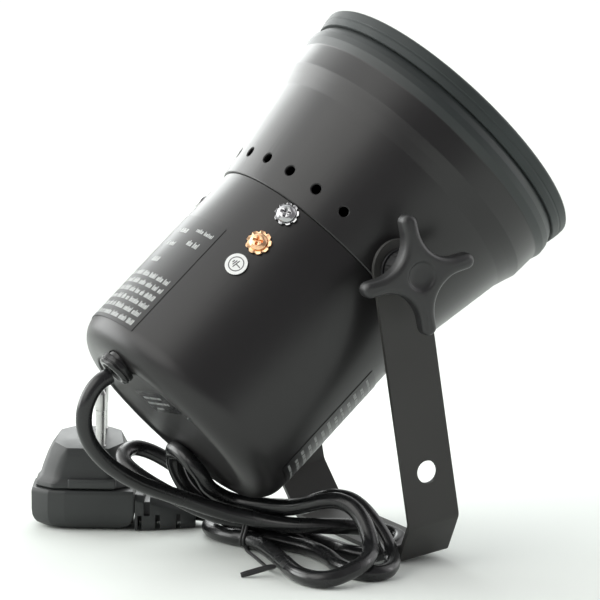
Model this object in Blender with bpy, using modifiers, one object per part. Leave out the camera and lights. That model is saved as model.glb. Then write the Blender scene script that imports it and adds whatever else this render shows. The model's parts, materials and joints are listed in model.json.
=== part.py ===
"""Mains pinspot light for a sealed-beam reflector lamp of the 114 mm size, on a U-shaped yoke.

Units in the constants are millimetres and degrees; the scene is in metres, +X is the side the
lamp points to, +Y runs along the tilt axis, +Z is up and the floor is z = 0.
The pose is the one in which the light stands on its yoke, the coiled lead and the plug.
"""
import bpy
import bmesh
import numpy as np
from math import sin, cos, pi, radians, sqrt, atan2, degrees
from mathutils import Matrix, Vector

MM = 0.001

# ---------------------------------------------------------------- driving dimensions
TILT = 43.3            # elevation of the lamp axis
LEAN = 9.8             # lean of the yoke
PIVOT_X = 3.76         # tilt axis, measured from the middle of the light's length
PIVOT_Z = 121.636      # height of the tilt axis
GAP = 0.3              # drawn clearance between touching pieces

# housing, stations along the lamp axis from the tilt axis (front is positive)
CAN_R = 51.0
CAN_WALL = 1.1
CAN_FRONT = -7.3
CAN_REAR = -97.6
CAN_EDGE_R = 12.0
REAR_STEP = 0.7        # shallow step between the rounded edge and the flat rear face
CONE_REAR = -7.0
CONE_REAR_R = 51.3
CONE_WALL = 1.0
SPIGOT_END = -18.0
SPIGOT_R = 49.5
FLANK_END, FLANK_R = 38.5, 60.0
SHOULDER, SHOULDER_R = 43.5, 62.4
BAND_END, BAND_R = 54.2, 62.9
BEAD, BEAD_R = 58.4, 64.2
CONE_FRONT, CONE_FRONT_R = 64.4, 62.9
VENT_D = 4.2
VENT_STATION = 2.6
VENT_PITCH = 15.65
VENT_FIRST = 59.2      # angle of the first vent from the top towards -Y
VENT_COUNT = 9
HOUSING_STEPS = 44

# front ring and lamp
RING_R0, RING_R1 = 63.4, 64.7
RING_REAR, RING_FRONT = 64.75, 72.6
RING_INNER = 54.6
LAMP_R = 57.0
LAMP_FOCUS_DEPTH = 34.0

# yoke
STRIP_W = 22.4
STRIP_T = 2.0
YOKE_HALF = 62.0       # outer face of an arm from the middle
BEND_DOWN = 103.3
FACET_IN, FACET_DOWN = 14.4, 18.2
ARM_HOLE_D, ARM_HOLE_DOWN = 9.2, 83.0
BASE_HOLE_D = 10.5
PIVOT_HOLE_D = 7.0

# knobs
KNOB_TIP = 24.4
KNOB_TIP_R = 3.1
KNOB_VALLEY = 10.4
KNOB_LOBE_IN, KNOB_LOBE_OUT = 73.6, 81.2
KNOB_HUB_R = 8.0
KNOB_DISH_R = 5.4
STUD_R = 3.0
THREAD_PITCH = 1.0

# fasteners on the can
JOINT_SCREW_STATION = -11.8
JOINT_SCREW_ANGLES = (40.2, 160.2, 280.2)
EARTH_STATION, EARTH_ANGLE = -28.3, 40.3
BRACKET_SCREW_STATION = -20.5
BRACKET_SCREW_ANGLES = (-33.0, 147.0)

# lead
CORD_D = 6.6
BUSH_UP, BUSH_NEAR = 37.0, 10.1
BUSH_OUT = 4.6         # how far the strain relief stands out of the rear face
PLUG_C = (-77.5, 71.0)
PLUG_YAW = -25.9

# ---------------------------------------------------------------- scene reset
for o in list(bpy.data.objects):
    bpy.data.objects.remove(o, do_unlink=True)
for c in list(bpy.data.collections):
    bpy.data.collections.remove(c)
root = bpy.context.scene.collection
PART = bpy.data.collections.new("pinspot_light")
root.children.link(PART)
CUT = bpy.data.collections.new("cutters")
root.children.link(CUT)

# ---------------------------------------------------------------- materials
_mats = {}


def material(name, rgb, rough=0.5, metal=0.0):
    m = bpy.data.materials.new(name)
    m.use_nodes = True
    b = m.node_tree.nodes["Principled BSDF"]
    b.inputs["Base Color"].default_value = (*rgb, 1.0)
    b.inputs["Roughness"].default_value = rough
    b.inputs["Metallic"].default_value = metal
    m.diffuse_color = (*rgb, 1.0)
    return m


LOOKS = {
    "paint": ((0.03, 0.03, 0.03), 0.42, 0.0),
    "matt": ((0.05, 0.05, 0.05), 0.6, 0.0),
    "rubber": ((0.06, 0.065, 0.065), 0.75, 0.0),
    "plastic": ((0.035, 0.035, 0.037), 0.5, 0.0),
    "steel": ((0.62, 0.62, 0.62), 0.3, 1.0),
    "chrome": ((0.75, 0.75, 0.76), 0.2, 1.0),
    "copper": ((0.75, 0.42, 0.2), 0.3, 1.0),
    "brass": ((0.7, 0.55, 0.25), 0.35, 1.0),
    "glass": ((0.75, 0.8, 0.8), 0.08, 0.0),
    "mirror": ((0.85, 0.85, 0.86), 0.12, 1.0),
    "label": ((0.06, 0.06, 0.065), 0.35, 0.0),
    "white": ((0.85, 0.85, 0.85), 0.5, 0.0),
    "pvc": ((0.03, 0.03, 0.03), 0.3, 0.0),
    "iron": ((0.25, 0.25, 0.26), 0.5, 0.6),
    "bobbin": ((0.55, 0.3, 0.08), 0.5, 0.0),
    "green": ((0.1, 0.4, 0.08), 0.5, 0.0),
    "blue": ((0.05, 0.15, 0.5), 0.5, 0.0),
    "nylon": ((0.8, 0.8, 0.76), 0.5, 0.0),
}

# ---------------------------------------------------------------- helpers


def empty(name, matrix):
    e = bpy.data.objects.new(name, None)
    PART.objects.link(e)
    e.matrix_world = matrix
    return e


def finish(obj, look, parent=None, matrix=None, smooth=None):
    """Give the object its own material, its collection, its parent and its shading."""
    obj.data.materials.clear()
    obj.data.materials.append(material(obj.name + "_mat", *LOOKS[look]))
    for c in list(obj.users_collection):
        c.objects.unlink(obj)
    PART.objects.link(obj)
    if parent is not None:
        obj.parent = parent
        obj.matrix_parent_inverse = Matrix.Identity(4)
    obj.matrix_basis = matrix if matrix is not None else Matrix.Identity(4)
    if smooth is not None:
        for p in obj.data.polygons:
            p.use_smooth = True
        obj.data.set_sharp_from_angle(angle=radians(smooth))
    return obj


def from_bmesh(name, bm):
    bmesh.ops.recalc_face_normals(bm, faces=bm.faces[:])
    me = bpy.data.meshes.new(name)
    bm.to_mesh(me)
    bm.free()
    return bpy.data.objects.new(name, me)


def turned(name, profile, steps=48):
    """Closed profile of (radius, height) points in mm, turned about local Z."""
    me = bpy.data.meshes.new(name)
    vs = [(r * MM, 0.0, z * MM) for r, z in profile]
    on_axis = [i for i, (r, z) in enumerate(profile) if r < 1e-9]
    n = len(vs)
    edges = []
    for i in range(n):
        j = (i + 1) % n
        if i in on_axis and j in on_axis:
            continue
        edges.append((i, j))
    me.from_pydata(vs, edges, [])
    ob = bpy.data.objects.new(name, me)
    PART.objects.link(ob)
    s = ob.modifiers.new("turn", "SCREW")
    s.axis = "Z"
    s.steps = steps
    s.render_steps = steps
    s.use_merge_vertices = True
    s.merge_threshold = 0.00005
    s.use_normal_calculate = True
    s.use_smooth_shade = True
    dg = bpy.context.evaluated_depsgraph_get()
    me2 = bpy.data.meshes.new_from_object(ob.evaluated_get(dg))
    PART.objects.unlink(ob)
    bpy.data.objects.remove(ob)
    bm = bmesh.new()
    bm.from_mesh(me2)
    bmesh.ops.remove_doubles(bm, verts=bm.verts[:], dist=0.00002)
    bmesh.ops.recalc_face_normals(bm, faces=bm.faces[:])
    me3 = bpy.data.meshes.new(name)
    bm.to_mesh(me3)
    bm.free()
    return bpy.data.objects.new(name, me3)


def prism(name, outline, z0, z1):
    """Closed 2D outline in mm (counter-clockwise) extruded from z0 to z1."""
    bm = bmesh.new()
    vs = [bm.verts.new((x * MM, y * MM, z0 * MM)) for x, y in outline]
    f = bm.faces.new(vs)
    r = bmesh.ops.extrude_face_region(bm, geom=[f])
    up = [v for v in r["geom"] if isinstance(v, bmesh.types.BMVert)]
    bmesh.ops.translate(bm, verts=up, vec=(0, 0, (z1 - z0) * MM))
    return from_bmesh(name, bm)


def box(name, sx, sy, sz, centre=(0, 0, 0), bevel=0.0):
    bm = bmesh.new()
    bmesh.ops.create_cube(bm, size=1.0)
    bmesh.ops.scale(bm, verts=bm.verts[:], vec=(sx * MM, sy * MM, sz * MM))
    bmesh.ops.translate(bm, verts=bm.verts[:], vec=Vector(centre) * MM)
    if bevel:
        bmesh.ops.bevel(bm, geom=bm.edges[:], offset=bevel * MM, segments=2, profile=0.5, affect="EDGES")
    return from_bmesh(name, bm)


def tube(name, pts, d, sides=8, spline=True, per=4):
    """Round rod of diameter d (mm) along points in mm, smoothed through them."""
    P = [Vector(p) for p in pts]
    if spline:
        out = []
        n = len(P)
        for i in range(n - 1):
            p0, p1, p2, p3 = P[max(i - 1, 0)], P[i], P[i + 1], P[min(i + 2, n - 1)]
            for k in range(per):
                t = k / per
                out.append(0.5 * ((2 * p1) + (p2 - p0) * t + (2 * p0 - 5 * p1 + 4 * p2 - p3) * t * t
                                  + (3 * p1 - p0 - 3 * p2 + p3) * t * t * t))
        out.append(P[-1])
        P = out
    cu = bpy.data.curves.new(name, "CURVE")
    cu.dimensions = "3D"
    sp = cu.splines.new("POLY")
    sp.points.add(len(P) - 1)
    for q, v in zip(sp.points, P):
        q.co = (*(v * MM), 1.0)
    cu.bevel_depth = d * MM / 2
    cu.bevel_resolution = max(0, sides // 4 - 1)
    cu.use_fill_caps = True
    ob = bpy.data.objects.new(name, cu)
    PART.objects.link(ob)
    dg = bpy.context.evaluated_depsgraph_get()
    me = bpy.data.meshes.new_from_object(ob.evaluated_get(dg))
    PART.objects.unlink(ob)
    bpy.data.objects.remove(ob)
    bm = bmesh.new()
    bm.from_mesh(me)
    bmesh.ops.remove_doubles(bm, verts=bm.verts[:], dist=0.00002)
    bmesh.ops.recalc_face_normals(bm, faces=bm.faces[:])
    me2 = bpy.data.meshes.new(name)
    bm.to_mesh(me2)
    bm.free()
    return bpy.data.objects.new(name, me2)


def cutter(name, obj, parent=None, matrix=None):
    for c in list(obj.users_collection):
        c.objects.unlink(obj)
    obj.name = name
    CUT.objects.link(obj)
    obj.display_type = "WIRE"
    obj.hide_render = True
    if parent is not None:
        obj.parent = parent
        obj.matrix_parent_inverse = Matrix.Identity(4)
    obj.matrix_basis = matrix if matrix is not None else Matrix.Identity(4)
    return obj


def cut(target, tool, op="DIFFERENCE"):
    m = target.modifiers.new("cut_" + tool.name, "BOOLEAN")
    m.operation = op
    m.solver = "EXACT"
    m.object = tool


def rod(r, z0, z1, sides=20):
    """Plain solid cylinder mesh object about local Z."""
    bm = bmesh.new()
    bmesh.ops.create_cone(bm, cap_ends=True, segments=sides, radius1=r * MM, radius2=r * MM, depth=(z1 - z0) * MM)
    bmesh.ops.translate(bm, verts=bm.verts[:], vec=(0, 0, (z0 + z1) / 2 * MM))
    return from_bmesh("rod", bm)


def ring_profile(r0, r1, z0, z1, c=0.0):
    if c <= 0:
        return [(r1, z1), (r1, z0), (r0, z0), (r0, z1)]
    return [(r0, z1), (r1 - c, z1), (r1, z1 - c), (r1, z0 + c), (r1 - c, z0), (r0, z0)]


def hexagon(af, phase=0.0):
    r = af / sqrt(3)
    return [(r * cos(radians(60 * k + phase)), r * sin(radians(60 * k + phase))) for k in range(6)]


# ---------------------------------------------------------------- frames
b = radians(TILT)
AX = Vector((cos(b), 0, sin(b)))
UP = Vector((-sin(b), 0, cos(b)))
NEAR = Vector((0, -1, 0))
PIVOT = Vector((PIVOT_X, 0, PIVOT_Z)) * MM


def basis(x, y, z, o):
    m = Matrix((x, y, z)).transposed().to_4x4()
    m.translation = o
    return m


HEAD = empty("head_frame", basis(UP, NEAR, AX, PIVOT))
YOKE = empty("yoke_frame", Matrix.Translation(PIVOT) @ Matrix.Rotation(-radians(LEAN), 4, "Y"))


def radial(phi, station):
    """Local frame in the head: Z points outwards at angle phi (0 = top, 90 = -Y), X runs forward."""
    p = radians(phi)
    z = Vector((cos(p), sin(p), 0))
    x = Vector((0, 0, 1))
    y = z.cross(x)
    m = Matrix((x, y, z)).transposed().to_4x4()
    m.translation = Vector((0, 0, station * MM))
    return m


# ---------------------------------------------------------------- rear can
def can_profile():
    pts = [(CAN_R, CAN_FRONT)]
    zc = CAN_REAR + CAN_EDGE_R
    rc = CAN_R - CAN_EDGE_R
    for k in range(6):
        t = radians(90 * k / 5)
        pts.append((rc + CAN_EDGE_R * cos(t), zc - CAN_EDGE_R * sin(t)))
    pts += [(rc - 1.2, CAN_REAR + REAR_STEP), (0.0, CAN_REAR + REAR_STEP)]
    zi = CAN_REAR + REAR_STEP + CAN_WALL
    ri = CAN_EDGE_R - CAN_WALL
    pts += [(0.0, zi), (rc - 1.2, zi)]
    for k in range(4):
        t = radians(90 * (3 - k) / 3)
        pts.append((rc + ri * cos(t), zc - ri * sin(t) + (0.15 if k == 0 else 0)))
    pts.append((CAN_R - CAN_WALL, CAN_FRONT))
    return pts


rear_can = finish(turned("rear_can", can_profile(), HOUSING_STEPS), "paint", HEAD, smooth=28)

# ---------------------------------------------------------------- front cone
k_flank = (FLANK_R - CONE_REAR_R) / (FLANK_END - CONE_REAR)
cone_out = [(CONE_FRONT_R - 0.4, CONE_FRONT), (BEAD_R - 0.2, BEAD + 2.2), (BEAD_R, BEAD - 0.6), (BAND_R, BAND_END),
            (SHOULDER_R, SHOULDER + 0.8), (FLANK_R + 0.9, FLANK_END + 1.8),
            (FLANK_R - 0.7, FLANK_END - 3.0), (CONE_REAR_R, CONE_REAR), (SPIGOT_R, CONE_REAR - 0.05), (SPIGOT_R, SPIGOT_END)]
w = CONE_WALL
cone_in = [(SPIGOT_R - w, SPIGOT_END), (SPIGOT_R - w, CONE_REAR + 1.0), (CONE_REAR_R - w, CONE_REAR + 1.8),
           (FLANK_R - 0.7 - w, FLANK_END - 2.6), (SHOULDER_R - w, SHOULDER + 1.4), (BAND_R - w, BAND_END - 0.2),
           (BEAD_R - w, BEAD - 0.4), (BEAD_R - 0.2 - w, BEAD + 1.9), (CONE_FRONT_R - 0.4 - w, CONE_FRONT)]
front_cone = finish(turned("front_cone", cone_out + cone_in, HOUSING_STEPS), "paint", HEAD, smooth=28)


def cone_r(s):
    return CONE_REAR_R + k_flank * (s - CONE_REAR)


for i in range(VENT_COUNT):
    t = cutter("vent_%d" % i, rod(VENT_D / 2, 44, 60, 12), HEAD, radial(VENT_FIRST - i * VENT_PITCH, VENT_STATION))
    cut(front_cone, t)
for i, ph in enumerate((90, -90)):
    cut(front_cone, cutter("pivot_cut_%d" % i, rod(PIVOT_HOLE_D / 2, 44, 60, 16), HEAD, radial(ph, 0)))
for i, ph in enumerate(JOINT_SCREW_ANGLES):
    t = cutter("joint_cut_%d" % i, rod(2.4, 46, 56, 12), HEAD, radial(ph, JOINT_SCREW_STATION))
    cut(front_cone, t)
    cut(rear_can, t)
cut(rear_can, cutter("earth_cut", rod(2.4, 46, 56, 14), HEAD, radial(EARTH_ANGLE, EARTH_STATION)))
for i, ph in enumerate(BRACKET_SCREW_ANGLES):
    cut(rear_can, cutter("bracket_cut_%d" % i, rod(1.9, 46, 56, 14), HEAD, radial(ph, BRACKET_SCREW_STATION)))
BUSH = Matrix.Translation(Vector((BUSH_UP, BUSH_NEAR, CAN_REAR)) * MM)
cut(rear_can, cutter("bush_cut", rod(6.6, -4, 6, 24), HEAD, BUSH))

# ---------------------------------------------------------------- lamp and its ring
ring = [(RING_INNER, RING_FRONT - 0.6), (RING_INNER + 0.8, RING_FRONT), (RING_R1 - 1.0, RING_FRONT), (RING_R1, RING_FRONT - 0.9),
        (RING_R0 + 0.2, RING_REAR), (LAMP_R + 0.5, RING_REAR), (LAMP_R + 0.5, RING_FRONT - 2.4), (RING_INNER, RING_FRONT - 2.4)]
finish(turned("lamp_retaining_ring", ring, 44), "rubber", HEAD, smooth=30)

lens = [(0, 72.0)]
for r in (22, 40):
    lens.append((r, 72.0 - 2.2 * (r / 54.2) ** 2))
lens += [(54.2, 69.7), (LAMP_R, 69.6), (LAMP_R, 67.4), (53.5, 67.4)]
for r in (40, 22):
    lens.append((r, 69.0 - 1.6 * (r / 54.2) ** 2))
lens.append((0, 69.0))
finish(turned("lamp_lens", lens, 28), "glass", HEAD, smooth=30)


def bowl(r, off=0.0):
    return 67.0 - LAMP_FOCUS_DEPTH * (1 - (r / LAMP_R) ** 2) - off


refl = [(LAMP_R, 67.1), (LAMP_R, 65.6), (55.4, 65.0)]
for r in (46, 34, 20):
    refl.append((r, bowl(r, 1.8)))
refl += [(9.5, bowl(9.5, 3.4)), (0, bowl(9.5, 3.4)), (0, bowl(0, 0) + 0.4)]
for r in (20, 34, 46, 54.6):
    refl.append((r, bowl(r, 0.0) if r < 54 else 65.9))
refl.append((54.9, 67.1))
finish(turned("lamp_reflector", refl, 28), "mirror", HEAD, smooth=30)
BACK = bowl(9.5, 3.4)
finish(turned("lamp_filament_shield", [(0, 60), (6.5, 59), (7.0, 56), (7.0, 46), (3.0, 44), (3.0, 34.2), (0, 34.2)], 12),
       "steel", HEAD, smooth=30)

# screw terminals on the back of the lamp
for i, y in enumerate((-5.2, 5.2)):
    finish(turned("lamp_terminal_%s" % "ab"[i], [(0, BACK - 0.3), (3.4, BACK - 0.3), (3.4, BACK - 2.2), (2.0, BACK - 2.2),
                                                (2.0, BACK - 5.4), (3.2, BACK - 5.4), (3.2, BACK - 7.2), (0, BACK - 7.2)], 10),
           "brass", HEAD, Matrix.Translation((0, y * MM, 0)), smooth=30)

# ---------------------------------------------------------------- transformer inside the can
CORE_Z = -66.0
TURN = Matrix.Rotation(radians(BRACKET_SCREW_ANGLES[0]), 4, "Z")   # the electrics line up with the bracket
core = box("transformer_core", 54.0, 45.0, 24.0, (0, 0, CORE_Z))
for i, y in enumerate((-13.5, 13.5)):
    cut(core, cutter("window_%d" % i, box("w", 36.0, 9.0, 40.0, (0, y, CORE_Z)), HEAD, TURN))
finish(core, "iron", HEAD, TURN)
coil = box("transformer_coil", 35.0, 34.6, 44.0, (0, 0, CORE_Z), 1.5)
cut(coil, cutter("leg", box("l", 40.0, 18.6, 24.8, (0, 0, CORE_Z)), HEAD, TURN))
finish(coil, "bobbin", HEAD, TURN)
# cross bracket carrying the transformer and the connector, its ends bent forward along the can wall
br = []
half = 45.6
for x, z in ((-half, -14.5), (-half, -36.2), (half, -36.2), (half, -14.5), (half - 1.2, -14.5), (half - 1.2, -35.0),
             (-half + 1.2, -35.0), (-half + 1.2, -14.5)):
    br.append((x, z))
bracket = prism("transformer_bracket", br, -5.5, 5.5)
BR_ROT = TURN @ Matrix.Rotation(radians(90), 4, "X")
for i, ph in enumerate(BRACKET_SCREW_ANGLES):
    cut(bracket, cutter("bracket_hole_%d" % i, rod(1.9, 40, 50, 14), HEAD, radial(ph, BRACKET_SCREW_STATION)))
finish(bracket, "steel", HEAD, BR_ROT)
for i, s in enumerate((-1, 1)):
    post = turned("transformer_post_%s" % "ab"[i], ring_profile(1.2, 2.6, -53.6, -36.6), 12)
    finish(post, "steel", HEAD, TURN @ Matrix.Translation((s * 23.5 * MM, 0, 0)), smooth=40)

block = box("mains_connector", 27.0, 14.0, 12.0, (0, 0, -28.6), 1.0)
WAYS = (-8.5, 0.0, 8.5)
for i, x in enumerate(WAYS):
    cut(block, cutter("way_%d" % i, rod(2.1, -30, 30, 10), HEAD, TURN @ Matrix.Translation((x * MM, 0, -29.5 * MM)) @ Matrix.Rotation(pi / 2, 4, "X")))
finish(block, "nylon", HEAD, TURN)

# ---------------------------------------------------------------- screws, washers, nuts


def star_outline(r0, r1, teeth):
    out = []
    for k in range(teeth):
        for f, r in ((0.0, r0), (0.3, r1), (0.65, r1)):
            t = 2 * pi * (k + f) / teeth
            out.append((r * cos(t), r * sin(t)))
    return out


def star_washer(name, look, phi, station, z0, z1, bore, r0, r1, teeth=9, parent=HEAD):
    w_ = prism(name, star_outline(r0, r1, teeth), z0, z1)
    m = radial(phi, station)
    cut(w_, cutter(name + "_bore", rod(bore, z0 - 2, z1 + 2, 10), parent, m))
    return finish(w_, look, parent, m)


def cross_recess(name, z, depth, length, width, m, parent=HEAD):
    """Cross-shaped cutter for a screw head."""
    l, s = length / 2, width / 2
    out = [(l, -s), (l, s), (s, s), (s, l), (-s, l), (-s, s), (-l, s), (-l, -s), (-s, -s), (-s, -l), (s, -l), (s, -s)]
    t = prism(name, out, z - depth, z + 1.0)
    return cutter(name, t, parent, m)


def pan_screw(name, look, phi, station, seat, head_r, head_h, shaft_r, shaft_in, twist=20.0):
    prof = [(0, seat + head_h), (head_r * 0.6, seat + head_h * 0.93), (head_r, seat + head_h * 0.45), (head_r, seat),
            (shaft_r, seat), (shaft_r, shaft_in), (0, shaft_in)]
    s = turned(name, prof, 14)
    m = radial(phi, station) @ Matrix.Rotation(radians(twist), 4, "Z")
    cut(s, cross_recess(name + "_cross", seat + head_h, head_h * 0.6, head_r * 1.15, head_r * 0.26, m))
    return finish(s, look, HEAD, m, smooth=40)


def nut(name, look, phi, station, z0, z1, af, bore):
    n = prism(name, hexagon(af), z0, z1)
    m = radial(phi, station)
    cut(n, cutter(name + "_bore", rod(bore, z0 - 2, z1 + 2, 10), HEAD, m))
    return finish(n, look, HEAD, m)


for i, ph in enumerate(JOINT_SCREW_ANGLES):
    star_washer("joint_washer_%d" % (i + 1), "chrome", ph, JOINT_SCREW_STATION, 51.3, 51.9, 2.4, 3.9, 4.9)
    pan_screw("joint_screw_%d" % (i + 1), "chrome", ph, JOINT_SCREW_STATION, 52.2, 3.7, 2.3, 2.0, 44.2)
    nut("joint_nut_%d" % (i + 1), "steel", ph, JOINT_SCREW_STATION, 44.9, 48.0, 7.0, 2.3)
star_washer("earth_washer", "copper", EARTH_ANGLE, EARTH_STATION, 51.3, 51.9, 2.4, 4.1, 5.1)
pan_screw("earth_screw", "copper", EARTH_ANGLE, EARTH_STATION, 52.2, 4.3, 2.4, 2.0, 42.6)
nut("earth_nut", "brass", EARTH_ANGLE, EARTH_STATION, 43.6, 46.6, 7.0, 2.3)
lug = turned("earth_lug", ring_profile(2.4, 4.6, 47.6, 48.4), 14)
finish(lug, "brass", HEAD, radial(EARTH_ANGLE, EARTH_STATION), smooth=40)
for i, ph in enumerate(BRACKET_SCREW_ANGLES):
    prof = [(0, 53.0), (2.2, 52.8), (3.0, 52.2), (3.0, 51.35), (1.5, 51.35), (1.5, 43.2), (0, 43.2)]
    finish(turned("bracket_screw_%d" % (i + 1), prof, 12), "steel", HEAD, radial(ph, BRACKET_SCREW_STATION), smooth=40)

# ---------------------------------------------------------------- stickers: thin curved plates


def wrap_plate(name, look, phi0, phi1, s0, s1, r, t, n):
    """Plate lying on the can between two angles and two stations."""
    bm = bmesh.new()
    rows = []
    for k in range(n + 1):
        p = radians(phi0 + (phi1 - phi0) * k / n)
        rows.append([bm.verts.new(((rr * cos(p)) * MM, (rr * sin(p)) * MM, s * MM)) for rr, s in ((r, s0), (r + t, s0), (r + t, s1), (r, s1))])
    for a, c in zip(rows[:-1], rows[1:]):
        for j in range(4):
            bm.faces.new((a[j], a[(j + 1) % 4], c[(j + 1) % 4], c[j]))
    bm.faces.new(rows[0])
    bm.faces.new(rows[-1])
    return finish(from_bmesh(name, bm), look, HEAD, smooth=30)


wrap_plate("rating_label", "label", -46.0, 22.3, -87.0, -31.5, CAN_R + GAP, 0.25, 14)
wrap_plate("underside_label", "label", 128.5, 168.0, -84.0, -30.0, CAN_R + GAP, 0.25, 8)
disc = rod(4.8, CAN_R + 0.55, CAN_R + 0.8, 28)
disc.name = "earth_label"
finish(disc, "white", HEAD, radial(39.4, -40.7), smooth=40)
rl = box("rear_label", 12.0, 38.0, 0.25, (0, 0, 0))
finish(rl, "label", HEAD, Matrix.Translation(Vector((14.5, 11.8, CAN_REAR + REAR_STEP - 0.45)) * MM) @ Matrix.Rotation(radians(-11), 4, "Z"))

# ---------------------------------------------------------------- strain relief
bush = turned("strain_relief", [(3.7, 8.5), (5.6, 8.5), (6.2, 7.9), (6.2, -0.35), (7.5, -0.35), (7.5, -3.4), (6.3, -BUSH_OUT), (4.9, -BUSH_OUT),
                                (3.7, -3.2)], 20)
finish(bush, "plastic", HEAD, BUSH, smooth=35)

# ---------------------------------------------------------------- inner wires
def turned_back(x, y, z):
    """A point of the head frame, in the frame of the bracket."""
    v = TURN.inverted() @ Vector((x, y, z))
    return (v.x, v.y, v.z)


tail = [turned_back(BUSH_UP, BUSH_NEAR, CAN_REAR + 10.0), (32.0, 24.5, -79), (34.5, 8, -66), (33.5, -6, -54), (27, -11.5, -44),
        (17, -12.5, -36), (WAYS[2], -9.2, -29.5)]
finish(tube("mains_tail", tail, 3.2, 8, per=3), "pvc", HEAD, TURN, smooth=60)
q = radians(EARTH_ANGLE)
ea = [(WAYS[1], 8.6, -29.5), (1.0, 15, -26.5), (5, 27, -22.5), turned_back(46.2 * cos(q), 46.2 * sin(q), -21.4)]
finish(tube("earth_wire", ea, 2.0, 8, per=4), "green", HEAD, TURN, smooth=60)
for i, s in enumerate((-1, 1)):
    pts = [(-4, s * 5.4, -21.6), (-3, s * 8, -12), (-1, s * 9, 4), (0, s * 7.5, 14), (0, s * 5.2, BACK - 8.2)]
    finish(tube("lamp_wire_%s" % "ab"[i], pts, 2.4, 8, per=3), "blue" if i else "pvc", HEAD, smooth=60)

# ---------------------------------------------------------------- tilt pivots on the housing


def side(sign):
    """Frame at the pivot with Z pointing out of the side: sign -1 is the -Y side."""
    z = Vector((0, sign, 0))
    x = (Matrix.Rotation(-radians(LEAN + 3.0), 3, "Y") @ Vector((1, 0, 0))).normalized()
    y = z.cross(x)
    return basis(x, y, z, PIVOT)


SIDES = {"near": -1, "far": 1}
for nm, sg in SIDES.items():
    F = empty("pivot_frame_" + nm, side(sg))
    cn = prism("captive_nut_" + nm, hexagon(10.0), 44.6, 49.6)
    cut(cn, cutter("captive_bore_" + nm, rod(STUD_R + GAP, 40, 60, 18), F))
    finish(cn, "steel", F)
    finish(turned("spacer_" + nm, ring_profile(STUD_R + GAP, 7.2, 54.6, 59.7), 18), "rubber", F, smooth=35)
    # pieces that turn with the knob
    finish(turned("stud_" + nm, [(0, 71.0), (STUD_R, 71.0), (STUD_R, 43.9), (STUD_R - 0.5, 43.4), (0, 43.4)], 16), "steel", F, smooth=35)
    finish(turned("knob_washer_" + nm, ring_profile(STUD_R + GAP, 8.6, YOKE_HALF + GAP, YOKE_HALF + 1.5), 20), "steel", F, smooth=35)
    lobes = []
    rc = (KNOB_TIP_R * sqrt(2) - KNOB_VALLEY) / (1 - sqrt(2))
    cc = KNOB_TIP_R + rc
    for q in range(4):
        a0 = q * pi / 2
        pts = []
        for k in range(6):
            t = -pi / 2 + pi * k / 5
            pts.append((KNOB_TIP - KNOB_TIP_R + KNOB_TIP_R * cos(t), KNOB_TIP_R * sin(t)))
        for k in range(7):
            t = -pi / 2 - (pi / 2) * k / 6
            pts.append((cc + rc * cos(t), cc + rc * sin(t)))
        for x, y in pts:
            lobes.append((x * cos(a0) - y * sin(a0), x * sin(a0) + y * cos(a0)))
    clean = [lobes[0]]
    for p in lobes[1:]:
        if (p[0] - clean[-1][0]) ** 2 + (p[1] - clean[-1][1]) ** 2 > 0.04:
            clean.append(p)
    kb = prism("knob_" + nm, clean, KNOB_LOBE_IN, KNOB_LOBE_OUT)
    bv = kb.modifiers.new("round", "BEVEL")
    bv.width = 1.3 * MM
    bv.segments = 1
    bv.limit_method = "ANGLE"
    bv.angle_limit = radians(50)
    hub = cutter("hub_" + nm, turned("hub", [(0, 76.0), (KNOB_HUB_R + 1.2, 76.0), (KNOB_HUB_R, 72.0), (KNOB_HUB_R, 63.8), (0, 63.8)], 20), F)
    cut(kb, hub, "UNION")
    cut(kb, cutter("dish_" + nm, turned("dish", [(0, 83), (KNOB_DISH_R + 0.6, 83), (KNOB_DISH_R, 80.4), (0, 79.8)], 18), F))
    cut(kb, cutter("knob_bore_" + nm, rod(STUD_R + GAP, 60, 71.3, 14), F))
    finish(kb, "plastic", F, smooth=35)

# ---------------------------------------------------------------- yoke: one bent strip
mid = YOKE_HALF - STRIP_T / 2
top = STRIP_W / 2 + 1.0


def yoke_path():
    """Centre line of the strip in the front view (y, z) from the top of the -Y arm to the middle of the base."""
    pts = []
    hw = STRIP_W / 2
    for k in range(6):
        t = radians(14 + 62 * k / 5)
        pts.append((-mid, top * cos(t), hw * sin(t)))
    pts.append((-mid, -7.0, hw))
    pts.append((-mid, -40.0, hw))
    pts.append((-mid, -70.0, hw))
    fin, fdn = FACET_IN, FACET_DOWN - STRIP_T / 2
    ang = atan2(fin, fdn)
    rb = 4.0
    l1 = rb * np.tan(ang / 2)
    c = (-mid + rb, -BEND_DOWN + l1 * 0)
    for k in range(4):
        t = ang * k / 3
        pts.append((-mid + rb * (1 - cos(t)), -BEND_DOWN + rb * (0 - sin(t)) + l1, hw))
    fb = (-mid + fin, -(BEND_DOWN + fdn))
    ang2 = pi / 2 - ang
    l2 = rb * np.tan(ang2 / 2)
    p_in = (fb[0] - l2 * sin(ang), fb[1] + l2 * cos(ang))
    n = (cos(ang), sin(ang))
    cx, cz = p_in[0] + rb * n[0], p_in[1] + rb * n[1]
    for k in range(4):
        t = ang + ang2 * k / 3
        pts.append((cx - rb * cos(t), cz - rb * sin(t), hw))
    pts.append((-12.0, fb[1], hw))
    return pts


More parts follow.
